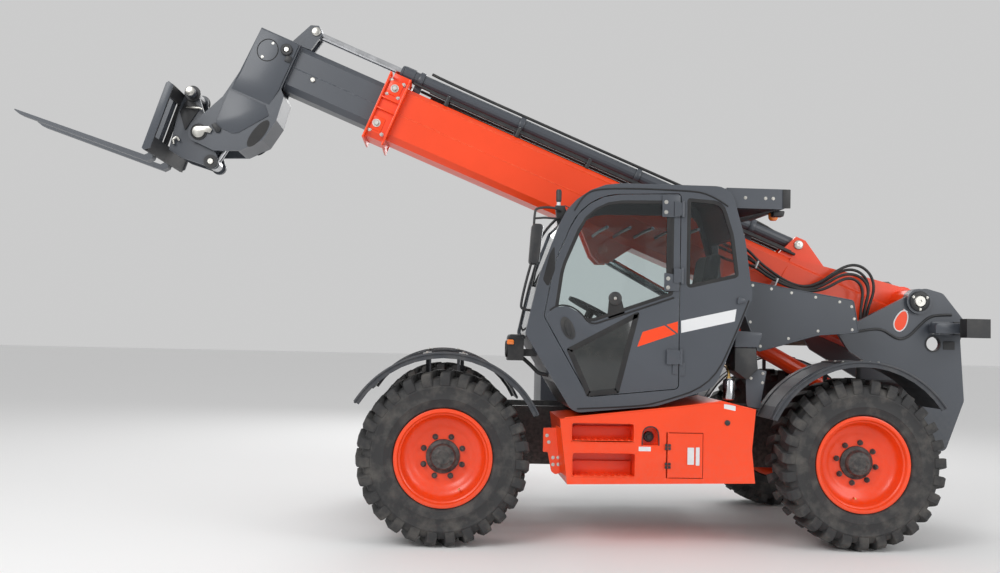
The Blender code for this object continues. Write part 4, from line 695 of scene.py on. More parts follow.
steel_bits = [tube([on_carriage(0.155, -0.175, 0.150), on_carriage(0.110, -0.195, 0.158), on_carriage(0.060, -0.200, 0.172),
                    on_carriage(0.030, -0.200, 0.170)], 0.0085)]
for side in (-1, 1):
    steel_bits.append(spun([(0, 0), (0.025, 0), (0.025, 0.018), (0.020, 0.024), (0.006, 0.024), (0.005, 0.020),
                            (0, 0.020)], on_carriage(-0.153, side * 0.156, -0.180), 32, (0, side, 0)))
    steel_bits.append(spun([(0, 0), (0.035, 0), (0.035, 0.006), (0.028, 0.010), (0, 0.010)],
                           on_carriage(0.150, side * 0.2550, 0.262), 32, (0, side, 0)))
    steel_bits.append(tube([on_carriage(0.120, side * 0.175, -0.110), on_carriage(0.145, side * 0.185, -0.090),
                            on_carriage(0.165, side * 0.185, -0.120), on_carriage(0.150, side * 0.180, -0.150)], 0.011))
finished(joined(steel_bits), "hitch_pins", "carriage", zinc, 50)

# ---------------------------------------------------------------- cab door
# A hemmed steel door on two bolted hinges: lower skin, tinted upper window in a black-printed edge, a
# dark lower pane, an oval flush handle and the round catch that holds the upper half open.
def at(x, y, z):
    """A point measured from the front axle and the ground."""
    return Vector((x + origin_x, y, z - 0.0037))


def rounded(corners, arc=5):
    """A flat outline with its corners eased; each corner is (x, z, radius)."""
    outline = []
    for index, (x, z, radius) in enumerate(corners):
        here = Vector((x, z))
        before = Vector(corners[index - 1][:2]) - here
        after = Vector(corners[(index + 1) % len(corners)][:2]) - here
        reach = min(radius / math.tan(before.angle(after) / 2), before.length * 0.48, after.length * 0.48)
        start, end = here + before.normalized() * reach, here + after.normalized() * reach
        outline += [start * (1 - t) ** 2 + here * 2 * t * (1 - t) + end * t ** 2 for t in
                    [step / arc for step in range(arc + 1)]]
    return outline


def panel(corners, y0, y1, bevel=0.0015):
    """A flat plate facing sideways, from y0 to y1."""
    return run_out([at(x, y0, z) for x, z in rounded(corners)], (0, y1 - y0, 0), bevel)


def band(corners, width, y0, y1, bevel=0.001):
    """A flat frame of one width round an opening, facing sideways."""
    frame_band = ring_of([at(x, y0, z) for x, z in rounded(corners)])
    bpy.ops.mesh.inset(thickness=width)
    bpy.ops.mesh.delete(type="FACE")
    bpy.ops.mesh.select_all(action="SELECT")
    bpy.ops.mesh.extrude_region_move(TRANSFORM_OT_translate={"value": (0, y1 - y0, 0)})
    close_up()
    return soften(frame_band, bevel) if bevel else frame_band


dark_pane = film_material("dark_pane", grain_group, {"Colour": (0.012, 0.015, 0.015, 1), "Gloss": 0.03,
                                                     "Grain": 25.0, "Dust": 0.06}, 0.01, 0.0005, Coat_Weight=0.6)
# The white film's edge colour is darker than its body colour: its edges are painted darker.
white_film = film_material("white_film", enamel, {"Colour": (0.72, 0.73, 0.74, 1), "Painted edge": (0.35, 0.35, 0.36, 1),
                                                  "Painted edge amount": 0.3, "Dust": 0.3, "Gloss": 0.35})
amber_lens = film_material("amber_lens", grain_group, {"Colour": (0.95, 0.22, 0.02, 1), "Gloss": 0.12,
                                                       "Grain": 220.0, "Dust": 0.05}, 0.05, 0.001, Coat_Weight=0.5)
red_lens = film_material("red_lens", grain_group, {"Colour": (0.55, 0.02, 0.015, 1), "Gloss": 0.12,
                                                   "Grain": 220.0, "Dust": 0.05}, 0.05, 0.001, Coat_Weight=0.5)
skin = [(0.987, 1.031, 0.02), (0.678, 1.562, 0.02), (0.735, 1.622, 0.02), (0.82, 1.634, 0.05),
        (0.915, 1.585, 0.06), (0.985, 1.492, 0.04), (1.560, 1.698, 0.02), (1.592, 1.705, 0.004),
        (1.592, 1.095, 0.012)]
finished(panel(skin, -1.0485, -1.0520), "door_skin", "door", slate)
window_edge = [(0.735, 1.60, 0.03), (0.775, 1.90, 0.5), (0.97, 2.365, 0.34), (1.555, 2.38, 0.02),
               (1.555, 1.725, 0.03), (0.98, 1.52, 0.15)]
seals = [band(window_edge, 0.024, -1.0405, -1.0492),
         panel([(1.10, 1.545, 0.02), (1.112, 1.705, 0.02), (1.190, 1.712, 0.03), (1.225, 1.590, 0.02)], -1.0410, -1.0500),
         panel([(1.505, 1.74, 0.01), (1.505, 2.36, 0.01), (1.550, 2.36, 0.01), (1.550, 1.75, 0.01)], -1.0405, -1.0488),
         tube([at(x, -1.0505, z) for x, z in ((0.705, 1.600), (0.735, 1.630), (0.820, 1.643), (0.912, 1.598),
                                              (0.985, 1.503), (1.10, 1.545), (1.34, 1.630), (1.56, 1.708))], 0.0055),
         band([(0.822, 1.34, 0.02), (1.328, 1.616, 0.02), (1.188, 1.045, 0.02), (0.97, 1.018, 0.02)], 0.036,
              -1.0515, -1.0545)]
finished(joined(seals), "door_seals", "door", seal_rubber)
finished(panel([(0.850, 1.334, 0.02), (1.285, 1.573, 0.02), (1.166, 1.062, 0.02), (0.985, 1.040, 0.02)],
               -1.0515, -1.0535), "door_lower_pane", "door", dark_pane)
grip = [(0.829 + 0.040 * math.cos(math.radians(a)) - 0.031 * math.sin(math.radians(a)),
         1.482 + 0.012 * math.cos(math.radians(a)) + 0.076 * math.sin(math.radians(a))) for a in range(0, 360, 10)]
inner = [(0.829 + (x - 0.829) * 0.42, 1.482 + (z - 1.482) * 0.72) for x, z in grip]
handle = [run_out([at(x, -1.0518, z) for x, z in grip], (0, -0.006, 0), 0.002),
          run_out([at(x, -1.0575, z) for x, z in inner], (0, -0.009, 0), 0.004, 3),
          spun([(0, 0), (0.046, 0), (0.046, 0.008), (0.038, 0.013), (0.014, 0.013), (0.012, 0.009), (0, 0.009)],
               at(1.152, -1.0500, 1.693), 40, (0, -1, 0))]
finished(joined(handle), "door_handle_and_catch", "door", plastic)
leaves = [panel([(1.469, 2.262, 0.006), (1.469, 2.417, 0.006), (1.594, 2.417, 0.006), (1.594, 2.262, 0.006)],
                -1.0520, -1.0600, 0.003),
          panel([(1.489, 1.752, 0.006), (1.489, 1.878, 0.006), (1.594, 1.862, 0.006), (1.594, 1.752, 0.006)],
                -1.0520, -1.0600, 0.003),
          panel([(1.556, 1.180, 0.004), (1.556, 1.256, 0.004), (1.594, 1.256, 0.004), (1.594, 1.180, 0.004)],
                -1.0520, -1.0590, 0.002)]
finished(joined(leaves), "door_hinge_plates", "door", slate)
bolt_row("door_hinge_bolts", [at(x, -1.0600, z) for x, z in ((1.495, 2.366), (1.495, 2.296), (1.516, 1.838),
                                                            (1.516, 1.776))], (0, -1, 0), "door", size=0.0095)
finished(spun([(0, 0), (0.012, 0), (0.012, 0.004), (0.008, 0.008), (0, 0.009)], at(1.152, -1.0600, 1.693), 24,
              (0, -1, 0)), "door_catch_stud", "door", zinc)
finished(joined([panel([(1.310, 1.364, 0.003), (1.346, 1.467, 0.003), (1.496, 1.515, 0.003), (1.577, 1.459, 0.003)],
                       -1.0518, -1.0528, 0), panel([(1.510, 1.520, 0.002), (1.590, 1.545, 0.002),
                                                    (1.590, 1.462, 0.002)], -1.0518, -1.0528, 0)]),
         "door_stripe", "door", orange)

# ---------------------------------------------------------------- cab shell, mirror and roof
# Outside trim on the welded cab: printed window edges, hand rail and wiper, mirror on its tube arms,
# marker lamp, lifting lug, the fan housing over the rear window with its guard mesh, and its beacon.
finished(joined([band([(1.645, 1.77, 0.03), (1.645, 2.40, 0.03), (1.90, 2.385, 0.12), (1.975, 2.15, 0.2),
                       (2.015, 1.86, 0.03)], 0.026, -1.0385, -1.0492),
                 panel([(0.728, 2.049, 0.02), (0.696, 1.987, 0.03), (0.652, 1.809, 0.03), (0.690, 1.756, 0.02),
                        (0.735, 1.879, 0.1)], -1.0490, -1.0512),
                 tube([at(x, -1.0508, z) for x, z in ((0.86, 2.29), (0.915, 2.395), (1.01, 2.445), (1.30, 2.455),
                                                      (1.60, 2.450), (1.80, 2.44), (1.93, 2.35))], 0.0055),
                 tube([at(x, -1.0500, z) for x, z in ((0.905, 0.935), (1.30, 0.955), (1.46, 0.985), (1.83, 1.110),
                                                      (1.99, 1.45), (2.085, 1.70))], 0.005)]),
         "cab_seals", "chassis", seal_rubber)
finished(panel([(1.612, 1.550, 0.003), (1.998, 1.639, 0.003), (1.986, 1.554, 0.003), (1.614, 1.466, 0.003)],
               -1.0498, -1.0510, 0), "cab_stripe", "chassis", white_film)
finished(joined([panel([(2.000, 1.672, 0.008), (2.006, 1.722, 0.008), (2.052, 1.712, 0.008), (2.058, 1.690, 0.008)],
                       -1.0495, -1.0660, 0.003),
                 panel([(1.602, 1.172, 0.004), (1.602, 1.262, 0.004), (1.640, 1.262, 0.004), (1.640, 1.172, 0.004)],
                       -1.0495, -1.0580, 0.002)]), "cab_side_brackets", "chassis", slate)
rails = [tube([at(x, -0.965, z) for x, z in ((0.585, 1.60), (0.515, 1.600), (0.512, 1.65), (0.553, 1.84),
                                             (0.612, 2.05), (0.690, 2.19), (0.775, 2.262))], 0.0095),
         tube([at(x, -0.62, z) for x, z in ((0.560, 1.455), (0.535, 1.50), (0.575, 1.70), (0.640, 1.95))], 0.007),
         tube([at(0.617, -0.63, 1.78), at(0.640, -0.62, 1.90), at(0.668, -0.61, 2.03)], 0.010),
         tube([at(x, y, z) for x, y, z in ((0.580, -1.080, 2.160), (0.582, -1.080, 2.265), (0.60, -1.070, 2.300),
                                           (0.730, -1.030, 2.312), (0.770, -0.995, 2.290))], 0.0085),
         tube([at(x, y, z) for x, y, z in ((0.590, -1.078, 2.225), (0.66, -1.050, 2.235), (0.765, -0.995, 2.235))],
              0.0075)]
finished(joined(rails), "hand_rail_wiper_and_mirror_arms", "chassis", plastic, 60)
shell = panel([(0.549, 1.912, 0.025), (0.566, 2.184, 0.025), (0.640, 2.184, 0.025), (0.610, 1.906, 0.025)],
              -1.022, -1.1370, 0.012)
finished(shell, "mirror_shell", "chassis", plastic)
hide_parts("mirror")
finished(run_out([at(0.6125, y, z) + Vector((0.1 * (z - 1.912), 0, 0)) for y, z in
                  ((-1.032, 1.925), (-1.127, 1.925), (-1.127, 2.168), (-1.032, 2.168))], (0.003, 0, 0.0), 0.001),
         "mirror_glass", "chassis", chrome)
finished(joined([run_out([at(0.755, -0.99, 2.19), at(0.735, -0.99, 2.330), at(0.800, -0.99, 2.330),
                          at(0.812, -0.99, 2.29)], (0, 0.05, 0), 0.004),
                 spun([(0, 0), (0.012, 0), (0.019, 0.008), (0.020, 0.075), (0.014, 0.088), (0, 0.090)],
                      at(0.760, -0.965, 2.355), 24, (0, 0, 1)),
                 tube([at(x, y, z) for x, y, z in ((0.800, -0.985, 2.33), (0.83, -1.00, 2.315), (0.855, -1.02, 2.27))],
                      0.0035)]), "marker_and_bracket", "chassis", plastic)
finished(spun([(0, 0), (0.015, 0), (0.013, 0.026), (0, 0.026)], at(0.760, -0.965, 2.329), 24, (0, 0, 1)),
         "marker_foot", "chassis", white_film)
lug = ring_of([at(x, -0.320, z) for x, z in rounded([(1.095, 2.484, 0.004), (1.150, 2.566, 0.02),
                                                     (1.196, 2.566, 0.02), (1.300, 2.484, 0.004)])])
bpy.ops.mesh.extrude_region_move(TRANSFORM_OT_translate={"value": (0, 0.012, 0)})
close_up()
finished(joined([soften(lug, 0.002), spun([(0.016, 0), (0.024, 0), (0.024, 0.018), (0.016, 0.018), (0.016, 0)],
                                          at(1.165, -0.323, 2.536), 32, (0, 1, 0))]), "lifting_lug", "chassis", orange)
ribs = [panel([(1.16, 2.486, 0.004), (1.18, 2.495, 0.004), (1.84, 2.495, 0.004), (1.86, 2.486, 0.004)], y, y + 0.055,
              0.004) for y in (-0.93, -0.79, -0.65, -0.51, -0.37)]
finished(joined(ribs), "roof_ribs", "chassis", slate)
clear_selection()
bpy.ops.mesh.primitive_grid_add(x_subdivisions=26, y_subdivisions=44, size=1)
mesh_guard = bpy.context.object
for corner in mesh_guard.data.vertices:
    across, down = corner.co.y + 0.5, corner.co.x + 0.5
    corner.co = at(1.985 + 0.305 * down, -1.005 + 0.71 * across, 2.268 + 0.074 * down)
wires = mesh_guard.modifiers.new("wires", "WIREFRAME")
wires.thickness, wires.use_even_offset = 0.0045, False
bpy.ops.object.modifier_apply(modifier="wires")
finished(mesh_guard, "fan_guard_mesh", "chassis", black_enamel)
finished(joined([panel([(2.325, 2.350, 0.004), (2.325, 2.484, 0.004), (2.380, 2.484, 0.004), (2.380, 2.352, 0.004)],
                       -1.0195, -1.026, 0.002),
                 panel([(2.290, 2.305, 0.01), (2.290, 2.346, 0.01), (2.375, 2.346, 0.01), (2.365, 2.305, 0.01)],
                       -0.93, -0.86, 0.006)]), "fan_box_end", "chassis", plastic)
bolt_row("fan_box_bolts", [at(x, -1.020, 2.418) for x in (2.061, 2.204, 2.258)], (0, -1, 0), "chassis", size=0.008)
bolt_row("fan_box_rear_bolts", [at(2.380, y, z) for y in (-0.95, -0.65, -0.35) for z in (2.375, 2.455)], (1, 0, 0),
         "chassis", size=0.008)
finished(spun([(0, 0), (0.034, 0), (0.036, 0.008), (0.033, 0.040), (0.022, 0.055), (0, 0.058)],
              at(2.331, -0.80, 2.3450), 32, (0, 0, -1)), "beacon", "chassis", amber_lens)

# ---------------------------------------------------------------- step box and fuel filler
# Orange steel box under the cab: two step wells with folded inner lips and ribbed treads, the fuel
# filler in its arched niche, the locker lid on two black corner hinges, and the bolted front bracket.
lips = []
for low, high in ((0.485, 0.642), (0.724, 0.848)):
    lips.append(panel([(0.868, low, 0.006), (0.868, high, 0.006), (0.885, high, 0.004), (0.885, low + 0.075, 0.010),
                       (0.905, low + 0.090, 0.010), (1.296, low + 0.090, 0.004), (1.296, low, 0.006)], -0.955, -0.962,
                      0.002))
    lips.append(run_out([at(0.868, y, low + 0.001) for y in (-1.098, -0.962)]
                        + [at(0.868, y, low + 0.004) for y in (-0.962, -1.098)], (0.425, 0, 0)))
    for step in range(9):
        lips.append(run_out([at(0.888 + 0.045 * step, -1.09, low + 0.004), at(0.904 + 0.045 * step, -1.09, low + 0.004),
                             at(0.900 + 0.045 * step, -1.09, low + 0.009), at(0.892 + 0.045 * step, -1.09, low + 0.009)],
                            (0, 0.12, 0)))
finished(joined(lips), "step_treads", "chassis", orange)


def edge_bead(corners, y, radius):
    """A rolled bead that follows a rounded outline all the way round."""
    outline = rounded(corners, 3)
    return tube([at(x, y, z) for x, z in outline + outline[:2]], radius)


finished(joined([edge_bead([(0.862, 0.715, 0.02), (0.862, 0.845, 0.02), (1.290, 0.845, 0.02), (1.290, 0.715, 0.02)],
                           -1.1005, 0.0035),
                 edge_bead([(0.870, 0.482, 0.02), (0.870, 0.645, 0.02), (1.300, 0.645, 0.02), (1.300, 0.482, 0.02)],
                           -1.1005, 0.0035)]
    + [tube([at(x, -1.1000, z) for x, z in ((0.815, 0.875), (1.30, 0.930), (1.70, 0.975), (1.89, 1.008),
                                            (2.10, 0.958))], 0.0045)]), "step_box_edges", "chassis", orange)
finished(joined([spun([(0, 0), (0.036, 0), (0.036, 0.010), (0.031, 0.018), (0.018, 0.020), (0.016, 0.028),
                       (0, 0.028)], at(1.402, -1.025, 0.752), 32, (0, -1, 0)),
                 tube([at(x, -1.101, z) for x, z in ((1.345, 0.700), (1.345, 0.775), (1.362, 0.815), (1.402, 0.830),
                                                     (1.443, 0.815), (1.460, 0.775), (1.460, 0.700))], 0.004),
                 spun([(0, 0), (0.019, 0), (0.019, 0.006), (0.012, 0.010), (0, 0.010)], at(1.929, -1.100, 0.861), 24,
                      (0, -1, 0))]), "fuel_cap", "chassis", plastic)
clips = []
for z in (0.566, 0.692):
    for dx, dz in ((-0.011, -0.011), (0.011, -0.011), (-0.011, 0.011), (0.011, 0.011)):
        clips.append(panel([(1.520 + dx - 0.009, z + dz - 0.009, 0.003), (1.520 + dx - 0.009, z + dz + 0.009, 0.003),
                            (1.520 + dx + 0.009, z + dz + 0.009, 0.003), (1.520 + dx + 0.009, z + dz - 0.009, 0.003)],
                           -1.1090, -1.1130, 0.001))
finished(joined(clips), "locker_hinges", "hatch", plastic)
finished(joined([panel([(1.655, 0.575, 0.003), (1.655, 0.690, 0.003), (1.700, 0.690, 0.003), (1.700, 0.575, 0.003)],
                       -1.1090, -1.1100, 0),
                 panel([(1.712, 0.570, 0.003), (1.712, 0.692, 0.003), (1.738, 0.692, 0.003), (1.738, 0.570, 0.003)],
                       -1.1090, -1.1100, 0)]), "locker_plates", "hatch", white_film)
finished(joined([panel([(1.322, 0.660, 0.003), (1.322, 0.690, 0.003), (1.405, 0.690, 0.003), (1.405, 0.660, 0.003)],
                       -1.0995, -1.1010, 0),
                 panel([(1.905, 0.958, 0.003), (1.905, 0.992, 0.003), (1.985, 0.975, 0.003), (1.985, 0.942, 0.003)],
                       -1.0995, -1.1010, 0)]), "step_box_plates", "chassis", white_film)
bracket = [panel([(0.682, 0.632, 0.01), (0.682, 0.796, 0.01), (0.812, 0.800, 0.01), (0.832, 0.500, 0.01),
                  (0.770, 0.480, 0.02), (0.742, 0.500, 0.02), (0.715, 0.632, 0.01)], -0.980, -0.992, 0.003),
           run_out([at(0.800, -0.990, 0.500), at(0.845, -1.095, 0.470), at(0.800, -1.095, 0.800),
                    at(0.765, -0.990, 0.815)], (0.004, 0, 0), 0.001)]
finished(joined(bracket), "front_bracket_plate", "chassis", orange)
bolt_row("front_bracket_bolts", [at(x, -0.992, z) for x, z in ((0.708, 0.745), (0.721, 0.700), (0.752, 0.595),
                                                              (0.788, 0.596), (0.753, 0.548), (0.789, 0.549),
                                                              (0.795, 0.700))], (0, -1, 0), "chassis", size=0.008)

# ---------------------------------------------------------------- behind the cab
# The black air-filter box with its grey lid, a grey gusset plate, and the bright oil filter with its
# brass head that stands on the step box.
finished(joined([panel([(2.017, 1.375, 0.01), (2.023, 1.492, 0.02), (2.218, 1.482, 0.02), (2.182, 1.377, 0.01)],
                       -0.955, -0.700, 0.008),
                 panel([(2.112, 1.150, 0.01), (2.190, 1.225, 0.01), (2.262, 1.212, 0.01), (2.215, 0.948, 0.01),
                        (2.127, 0.962, 0.01), (2.118, 1.000, 0.01)], -0.905, -0.897, 0.002)]),
         "air_box_lid", "chassis", slate)
finished(panel([(2.022, 1.210, 0.01), (2.020, 1.374, 0.01), (2.172, 1.374, 0.01), (2.188, 1.222, 0.01),
                (2.110, 1.148, 0.02)], -0.945, -0.710, 0.006), "air_box", "chassis", plastic)
finished(spun([(0, 0), (0.030, 0), (0.039, 0.008), (0.040, 0.135), (0.034, 0.146), (0.030, 0.148), (0.030, 0.152),
               (0, 0.152)], at(1.992, -0.900, 1.004), 40, (0, 0, 1)), "oil_filter", "chassis", chrome)
finished(joined([spun([(0, 0), (0.020, 0), (0.020, 0.012), (0.011, 0.014), (0.011, 0.034), (0, 0.034)],
                      at(1.992, -0.900, 1.156), 6, (0, 0, 1)),
                 tube([at(x, y, z) for x, y, z in ((1.992, -0.90, 1.180), (1.992, -0.88, 1.215), (2.0, -0.80, 1.235),
                                                   (2.01, -0.72, 1.24))], 0.009)]), "filter_head", "chassis", brass)
heads = [at(x, -0.905, z) for x, z in ((2.235, 1.195), (2.232, 1.130), (2.150, 1.160))]
bolt_row("gusset_bolts", heads, (0, -1, 0), "chassis", size=0.007)

# ---------------------------------------------------------------- front lamp
# A work lamp on the cab's front corner: round lens in a bezel, with an amber repeater on its top.
finished(joined([spun([(0.050, 0), (0.060, 0), (0.060, 0.010), (0.052, 0.014), (0.050, 0.008), (0.050, 0)],
                      at(0.4352, -0.80, 1.330), 40, (-1, 0, 0)),
                 tube([at(x, y, z) for x, y, z in ((0.53, -0.80, 1.28), (0.60, -0.80, 1.22), (0.66, -0.80, 1.16),
                                                   (0.80, -0.80, 1.14))], 0.014),
                 panel([(0.430, 1.398, 0.01), (0.445, 1.432, 0.02), (0.545, 1.432, 0.01), (0.555, 1.398, 0.01)],
                       -0.885, -0.715, 0.006)]), "front_lamp_bezel", "chassis", plastic)
finished(spun([(0, 0), (0.050, 0), (0.050, 0.003), (0.030, 0.009), (0, 0.011)], at(0.4355, -0.80, 1.330), 40,
              (-1, 0, 0)), "front_lamp_lens", "chassis", lamp_glass)
finished(panel([(0.425, 1.360, 0.01), (0.428, 1.395, 0.01), (0.475, 1.395, 0.01), (0.475, 1.360, 0.01)], -0.880, -0.893,
               0.004), "front_repeater", "chassis", amber_lens)

# ---------------------------------------------------------------- rear tower, cover and tail lamps
# Two thick slate side plates carry the boom pivot.  On each: the pivot pin's bolted keeper ring, a
# cut-out with a pale edge, a black wiring duct, and the bracket of the tail lamps' cross tube.
for side in (-1, 1):
    hand = "left" if side < 0 else "right"
    outer = side * 0.4205
    tear = [(3.471, 1.687), (3.502, 1.669), (3.505, 1.609), (3.484, 1.548), (3.441, 1.514), (3.403, 1.534),
            (3.391, 1.582), (3.422, 1.643)]
    finished(joined([tube([at(x, outer, z) for x, z in tear + tear[:2]], 0.0055)]), f"tower_cutout_edge_{hand}",
             "chassis", white_film)
    finished(run_out([at(x, outer, z) for x, z in tear], (0, side * 0.003, 0)), f"tower_cutout_{hand}", "chassis",
             orange)
    duct = [(3.063, 1.502), (3.107, 1.509), (3.255, 1.536), (3.317, 1.526), (3.379, 1.485), (3.441, 1.456),
            (3.515, 1.482), (3.590, 1.562), (3.664, 1.631), (3.739, 1.651), (3.845, 1.653)]
    black = [tube([at(x, outer, z) for x, z in duct], 0.011),
             spun([(0.047, 0), (0.074, 0), (0.076, 0.004), (0.076, 0.014), (0.070, 0.018), (0.047, 0.018)],
                  at(3.58, side * 0.4505, 1.75), 48, (0, side, 0)),
             panel([(3.780, 1.388, 0.006), (3.780, 1.452, 0.006), (3.870, 1.452, 0.006), (3.870, 1.388, 0.006)],
                   outer, side * 0.424, 0.001)]
    black.append(spun([(0.052, 0), (0.062, 0), (0.062, 0.006), (0.052, 0.006), (0.052, 0)], at(3.70, outer, 1.43), 48,
                      (0, side, 0)))
    finished(joined(black), f"tower_ducts_{hand}", "chassis", black_enamel)
    finished(spun([(0, 0), (0.045, 0), (0.045, 0.016), (0.038, 0.024), (0.010, 0.024), (0.008, 0.018), (0, 0.018)],
                  at(3.58, side * 0.4505, 1.75), 48, (0, side, 0)), f"boom_pin_{hand}", "chassis", zinc)
    bolt_row(f"pivot_keeper_bolts_{hand}", [at(3.58 + 0.061 * math.cos(a), side * 0.4685, 1.75 + 0.061 * math.sin(a))
                                            for a in (0.5, 2.6, 4.7)], (0, side, 0), "chassis", size=0.007)
    bracket = [panel([(3.660, 1.500, 0.02), (3.690, 1.600, 0.02), (3.830, 1.600, 0.01), (3.830, 1.500, 0.01)],
                     side * 0.4210, side * 0.432, 0.002)]
    box_top = [(3.655, 1.508, 0.01), (3.655, 1.588, 0.03), (3.900, 1.588, 0.01), (3.900, 1.508, 0.01)]
    finished(joined(bracket + [panel(box_top, side * 0.440, side * 0.560, 0.010)]), f"tail_bracket_{hand}", "chassis",
             slate)
    bolt_row(f"tail_bracket_bolts_{hand}", [at(x, side * 0.432, z) for x, z in ((3.690, 1.574), (3.745, 1.574),
                                                                                (3.745, 1.515), (3.695, 1.515))],
             (0, side, 0), "chassis", size=0.007)
    finished(spun([(0, 0), (0.034, 0), (0.034, 0.002), (0.020, 0.006), (0, 0.008)], at(3.9915, side * 0.650, 1.576),
                  32, (1, 0, 0)), f"tail_lens_{hand}", "chassis", red_lens)
    finished(spun([(0, 0), (0.026, 0), (0.026, 0.002), (0.016, 0.005), (0, 0.007)], at(3.9925, side * 0.650, 1.512), 32,
                  (1, 0, 0)), f"turn_lens_{hand}", "chassis", amber_lens)
cover_line = [(2.231, 1.828), (2.370, 1.805), (2.520, 1.780), (2.700, 1.752), (2.880, 1.722), (2.970, 1.690),
              (2.990, 1.600), (2.975, 1.520), (2.720, 1.505), (2.500, 1.445), (2.292, 1.385), (2.215, 1.560),
              (2.190, 1.700)]
bolt_row("cover_bolts", [at(x, -0.660, z) for x, z in cover_line], (0, -1, 0), "chassis", size=0.007, height=0.005)
hem = [(2.183, 1.860, 0.01), (2.985, 1.735, 0.03), (3.025, 1.50, 0.03), (2.72, 1.475, 0.05), (2.275, 1.345, 0.02),
       (2.156, 1.66, 0.02)]
finished(edge_bead(hem, -0.6595, 0.004), "cover_hem", "chassis", slate)
hitch = []
for z in (0.69, 0.832):
    hitch.append(spun([(0, 0), (0.030, 0), (0.030, 0.008), (0.022, 0.012), (0, 0.012)], at(3.92, 0, z - 0.004), 32,
                      (0, 0, 1)))
hitch.append(tube([at(3.92, 0, 0.865), at(3.92, 0, 0.905), at(3.905, 0.03, 0.925), at(3.90, 0.06, 0.905)], 0.007))
hitch += [bolt_head(at(3.832, y, z), (1, 0, 0), 0.013, 0.012) for y in (-0.13, 0.13) for z in (0.64, 0.84)]
finished(joined(hitch), "tow_pin_and_bolts", "chassis", zinc)

# ---------------------------------------------------------------- hoses over the boom's foot
# Rubber-covered oil hoses that leave the boom's side behind the cab, sag, arch over its foot and go
# down behind the left side plate.  Pale ties hold them in pairs.
hose_size = 0.022
routes = {
    "outer": (-0.252, [(2.317, 2.125), (2.406, 2.029), (2.532, 1.939), (2.633, 1.880), (2.734, 1.849), (2.822, 1.858),
                       (2.909, 1.900), (2.985, 1.955), (3.060, 2.004), (3.136, 2.030), (3.212, 2.020), (3.275, 1.971),
                       (3.308, 1.904), (3.312, 1.829), (3.290, 1.754), (3.262, 1.679), (3.250, 1.600)]),
    "middle": (-0.280, [(2.330, 2.051), (2.444, 1.956), (2.570, 1.887), (2.671, 1.845), (2.759, 1.825),
                        (2.847, 1.838), (2.935, 1.882), (3.010, 1.930), (3.086, 1.956), (3.162, 1.950),
                        (3.219, 1.914), (3.251, 1.865), (3.257, 1.803), (3.239, 1.741), (3.227, 1.679),
                        (3.220, 1.600)]),
    "inner": (-0.310, [(2.340, 2.000), (2.450, 1.920), (2.570, 1.862), (2.680, 1.826), (2.780, 1.812),
                       (2.870, 1.822), (2.950, 1.858), (3.020, 1.900), (3.085, 1.922), (3.145, 1.910),
                       (3.185, 1.870), (3.200, 1.815), (3.195, 1.750), (3.185, 1.680), (3.180, 1.600)]),
    "low": (-0.226, [(2.322, 2.085), (2.420, 1.995), (2.540, 1.915), (2.645, 1.862), (2.745, 1.838),
                     (2.835, 1.848), (2.922, 1.892), (2.998, 1.944), (3.074, 1.985), (3.150, 1.996),
                     (3.218, 1.972), (3.264, 1.922), (3.283, 1.855), (3.276, 1.785), (3.258, 1.715),
                     (3.238, 1.640), (3.232, 1.590)])}
hose_starts = {"outer": (1.620, -0.105), "middle": (1.600, -0.185), "inner": (1.580, -0.250), "low": (1.610, -0.145)}
for label, (y, line) in routes.items():
    run = [at(x, y, z) for x, z in line]
    start_u, start_n = hose_starts[label]
    first = on_boom(start_u, -0.186, start_n)
    run = [first, on_boom(start_u - 0.09, -0.190, start_n - 0.004),
           on_boom(start_u - 0.19, (y - 0.190) / 2, start_n - 0.012)] + run
    hose = tube(run, hose_size / 2, 4)
    square_up(hose)
    skin_points = [corner.co.copy() for corner in hose.data.vertices]
    run = [sum(skin_points[index:index + 12], Vector()) / 12 for index in range(24, len(skin_points), 12)]
    hose.name = hose.data.name = f"hose_{label}"
    hose.data.materials.clear()
    hose.data.materials.append(hose_rubber)
    bpy.ops.object.shade_smooth_by_angle(angle=math.radians(60))
    reach = sum((b - a).length for a, b in zip(run, run[1:]))
    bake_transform(hose)
sleeves = [spun([(0.0112, -0.030), (0.0165, -0.030), (0.0175, -0.022), (0.0175, 0.022), (0.0150, 0.030),
                 (0.0112, 0.030)], on_boom(u, -0.186, n), 20, boom_way) for u, n in hose_starts.values()]
sleeves += [spun([(0, 0), (0.014, 0), (0.014, 0.018), (0, 0.018)], on_boom(u + 0.022, -0.170, n), 16, (0, -1, 0))
            for u, n in hose_starts.values()]
finished(joined(sleeves), "hose_fittings", "boom", zinc)
ties = [boom_block(u - 0.006, u + 0.006, -0.330, -0.210, n - 0.052, n + 0.010, 0.004)
        for u, n in ((1.22, -0.20), (1.03, -0.262))]
finished(joined(ties), "hose_ties", "boom", white_film)

# ---------------------------------------------------------------- seat
# A sprung driver's seat: two foam pads in grey-black woven cloth, each swelled by its filling, with
# sewn channels, on a moulded pan and a bellows foot.
weave_group, ins, outs = new_group(
    "woven_cloth", [("Colour", "Color", (0.05, 0.05, 0.055, 1)), ("Threads", "Float", 260.0)],
    [("Colour", "Color"), ("Roughness", "Float"), ("Height", "Float")])
where = add_node(weave_group, "TexCoord").outputs["Object"]
warp = add_node(weave_group, "TexWave", {"bands_direction": "Y"}, Vector=where, Scale=ins["Threads"],
                Distortion=0.6).outputs["Fac"]
weft = add_node(weave_group, "TexWave", {"bands_direction": "DIAGONAL"}, Vector=where, Scale=ins["Threads"],
                Distortion=0.6).outputs["Fac"]
cross = add_node(weave_group, "Math", {"operation": "MULTIPLY"}, i0=warp, i1=weft).outputs[0]
tone = add_node(weave_group, "TexNoise", Vector=where, Scale=14.0, Detail=4.0).outputs["Fac"]
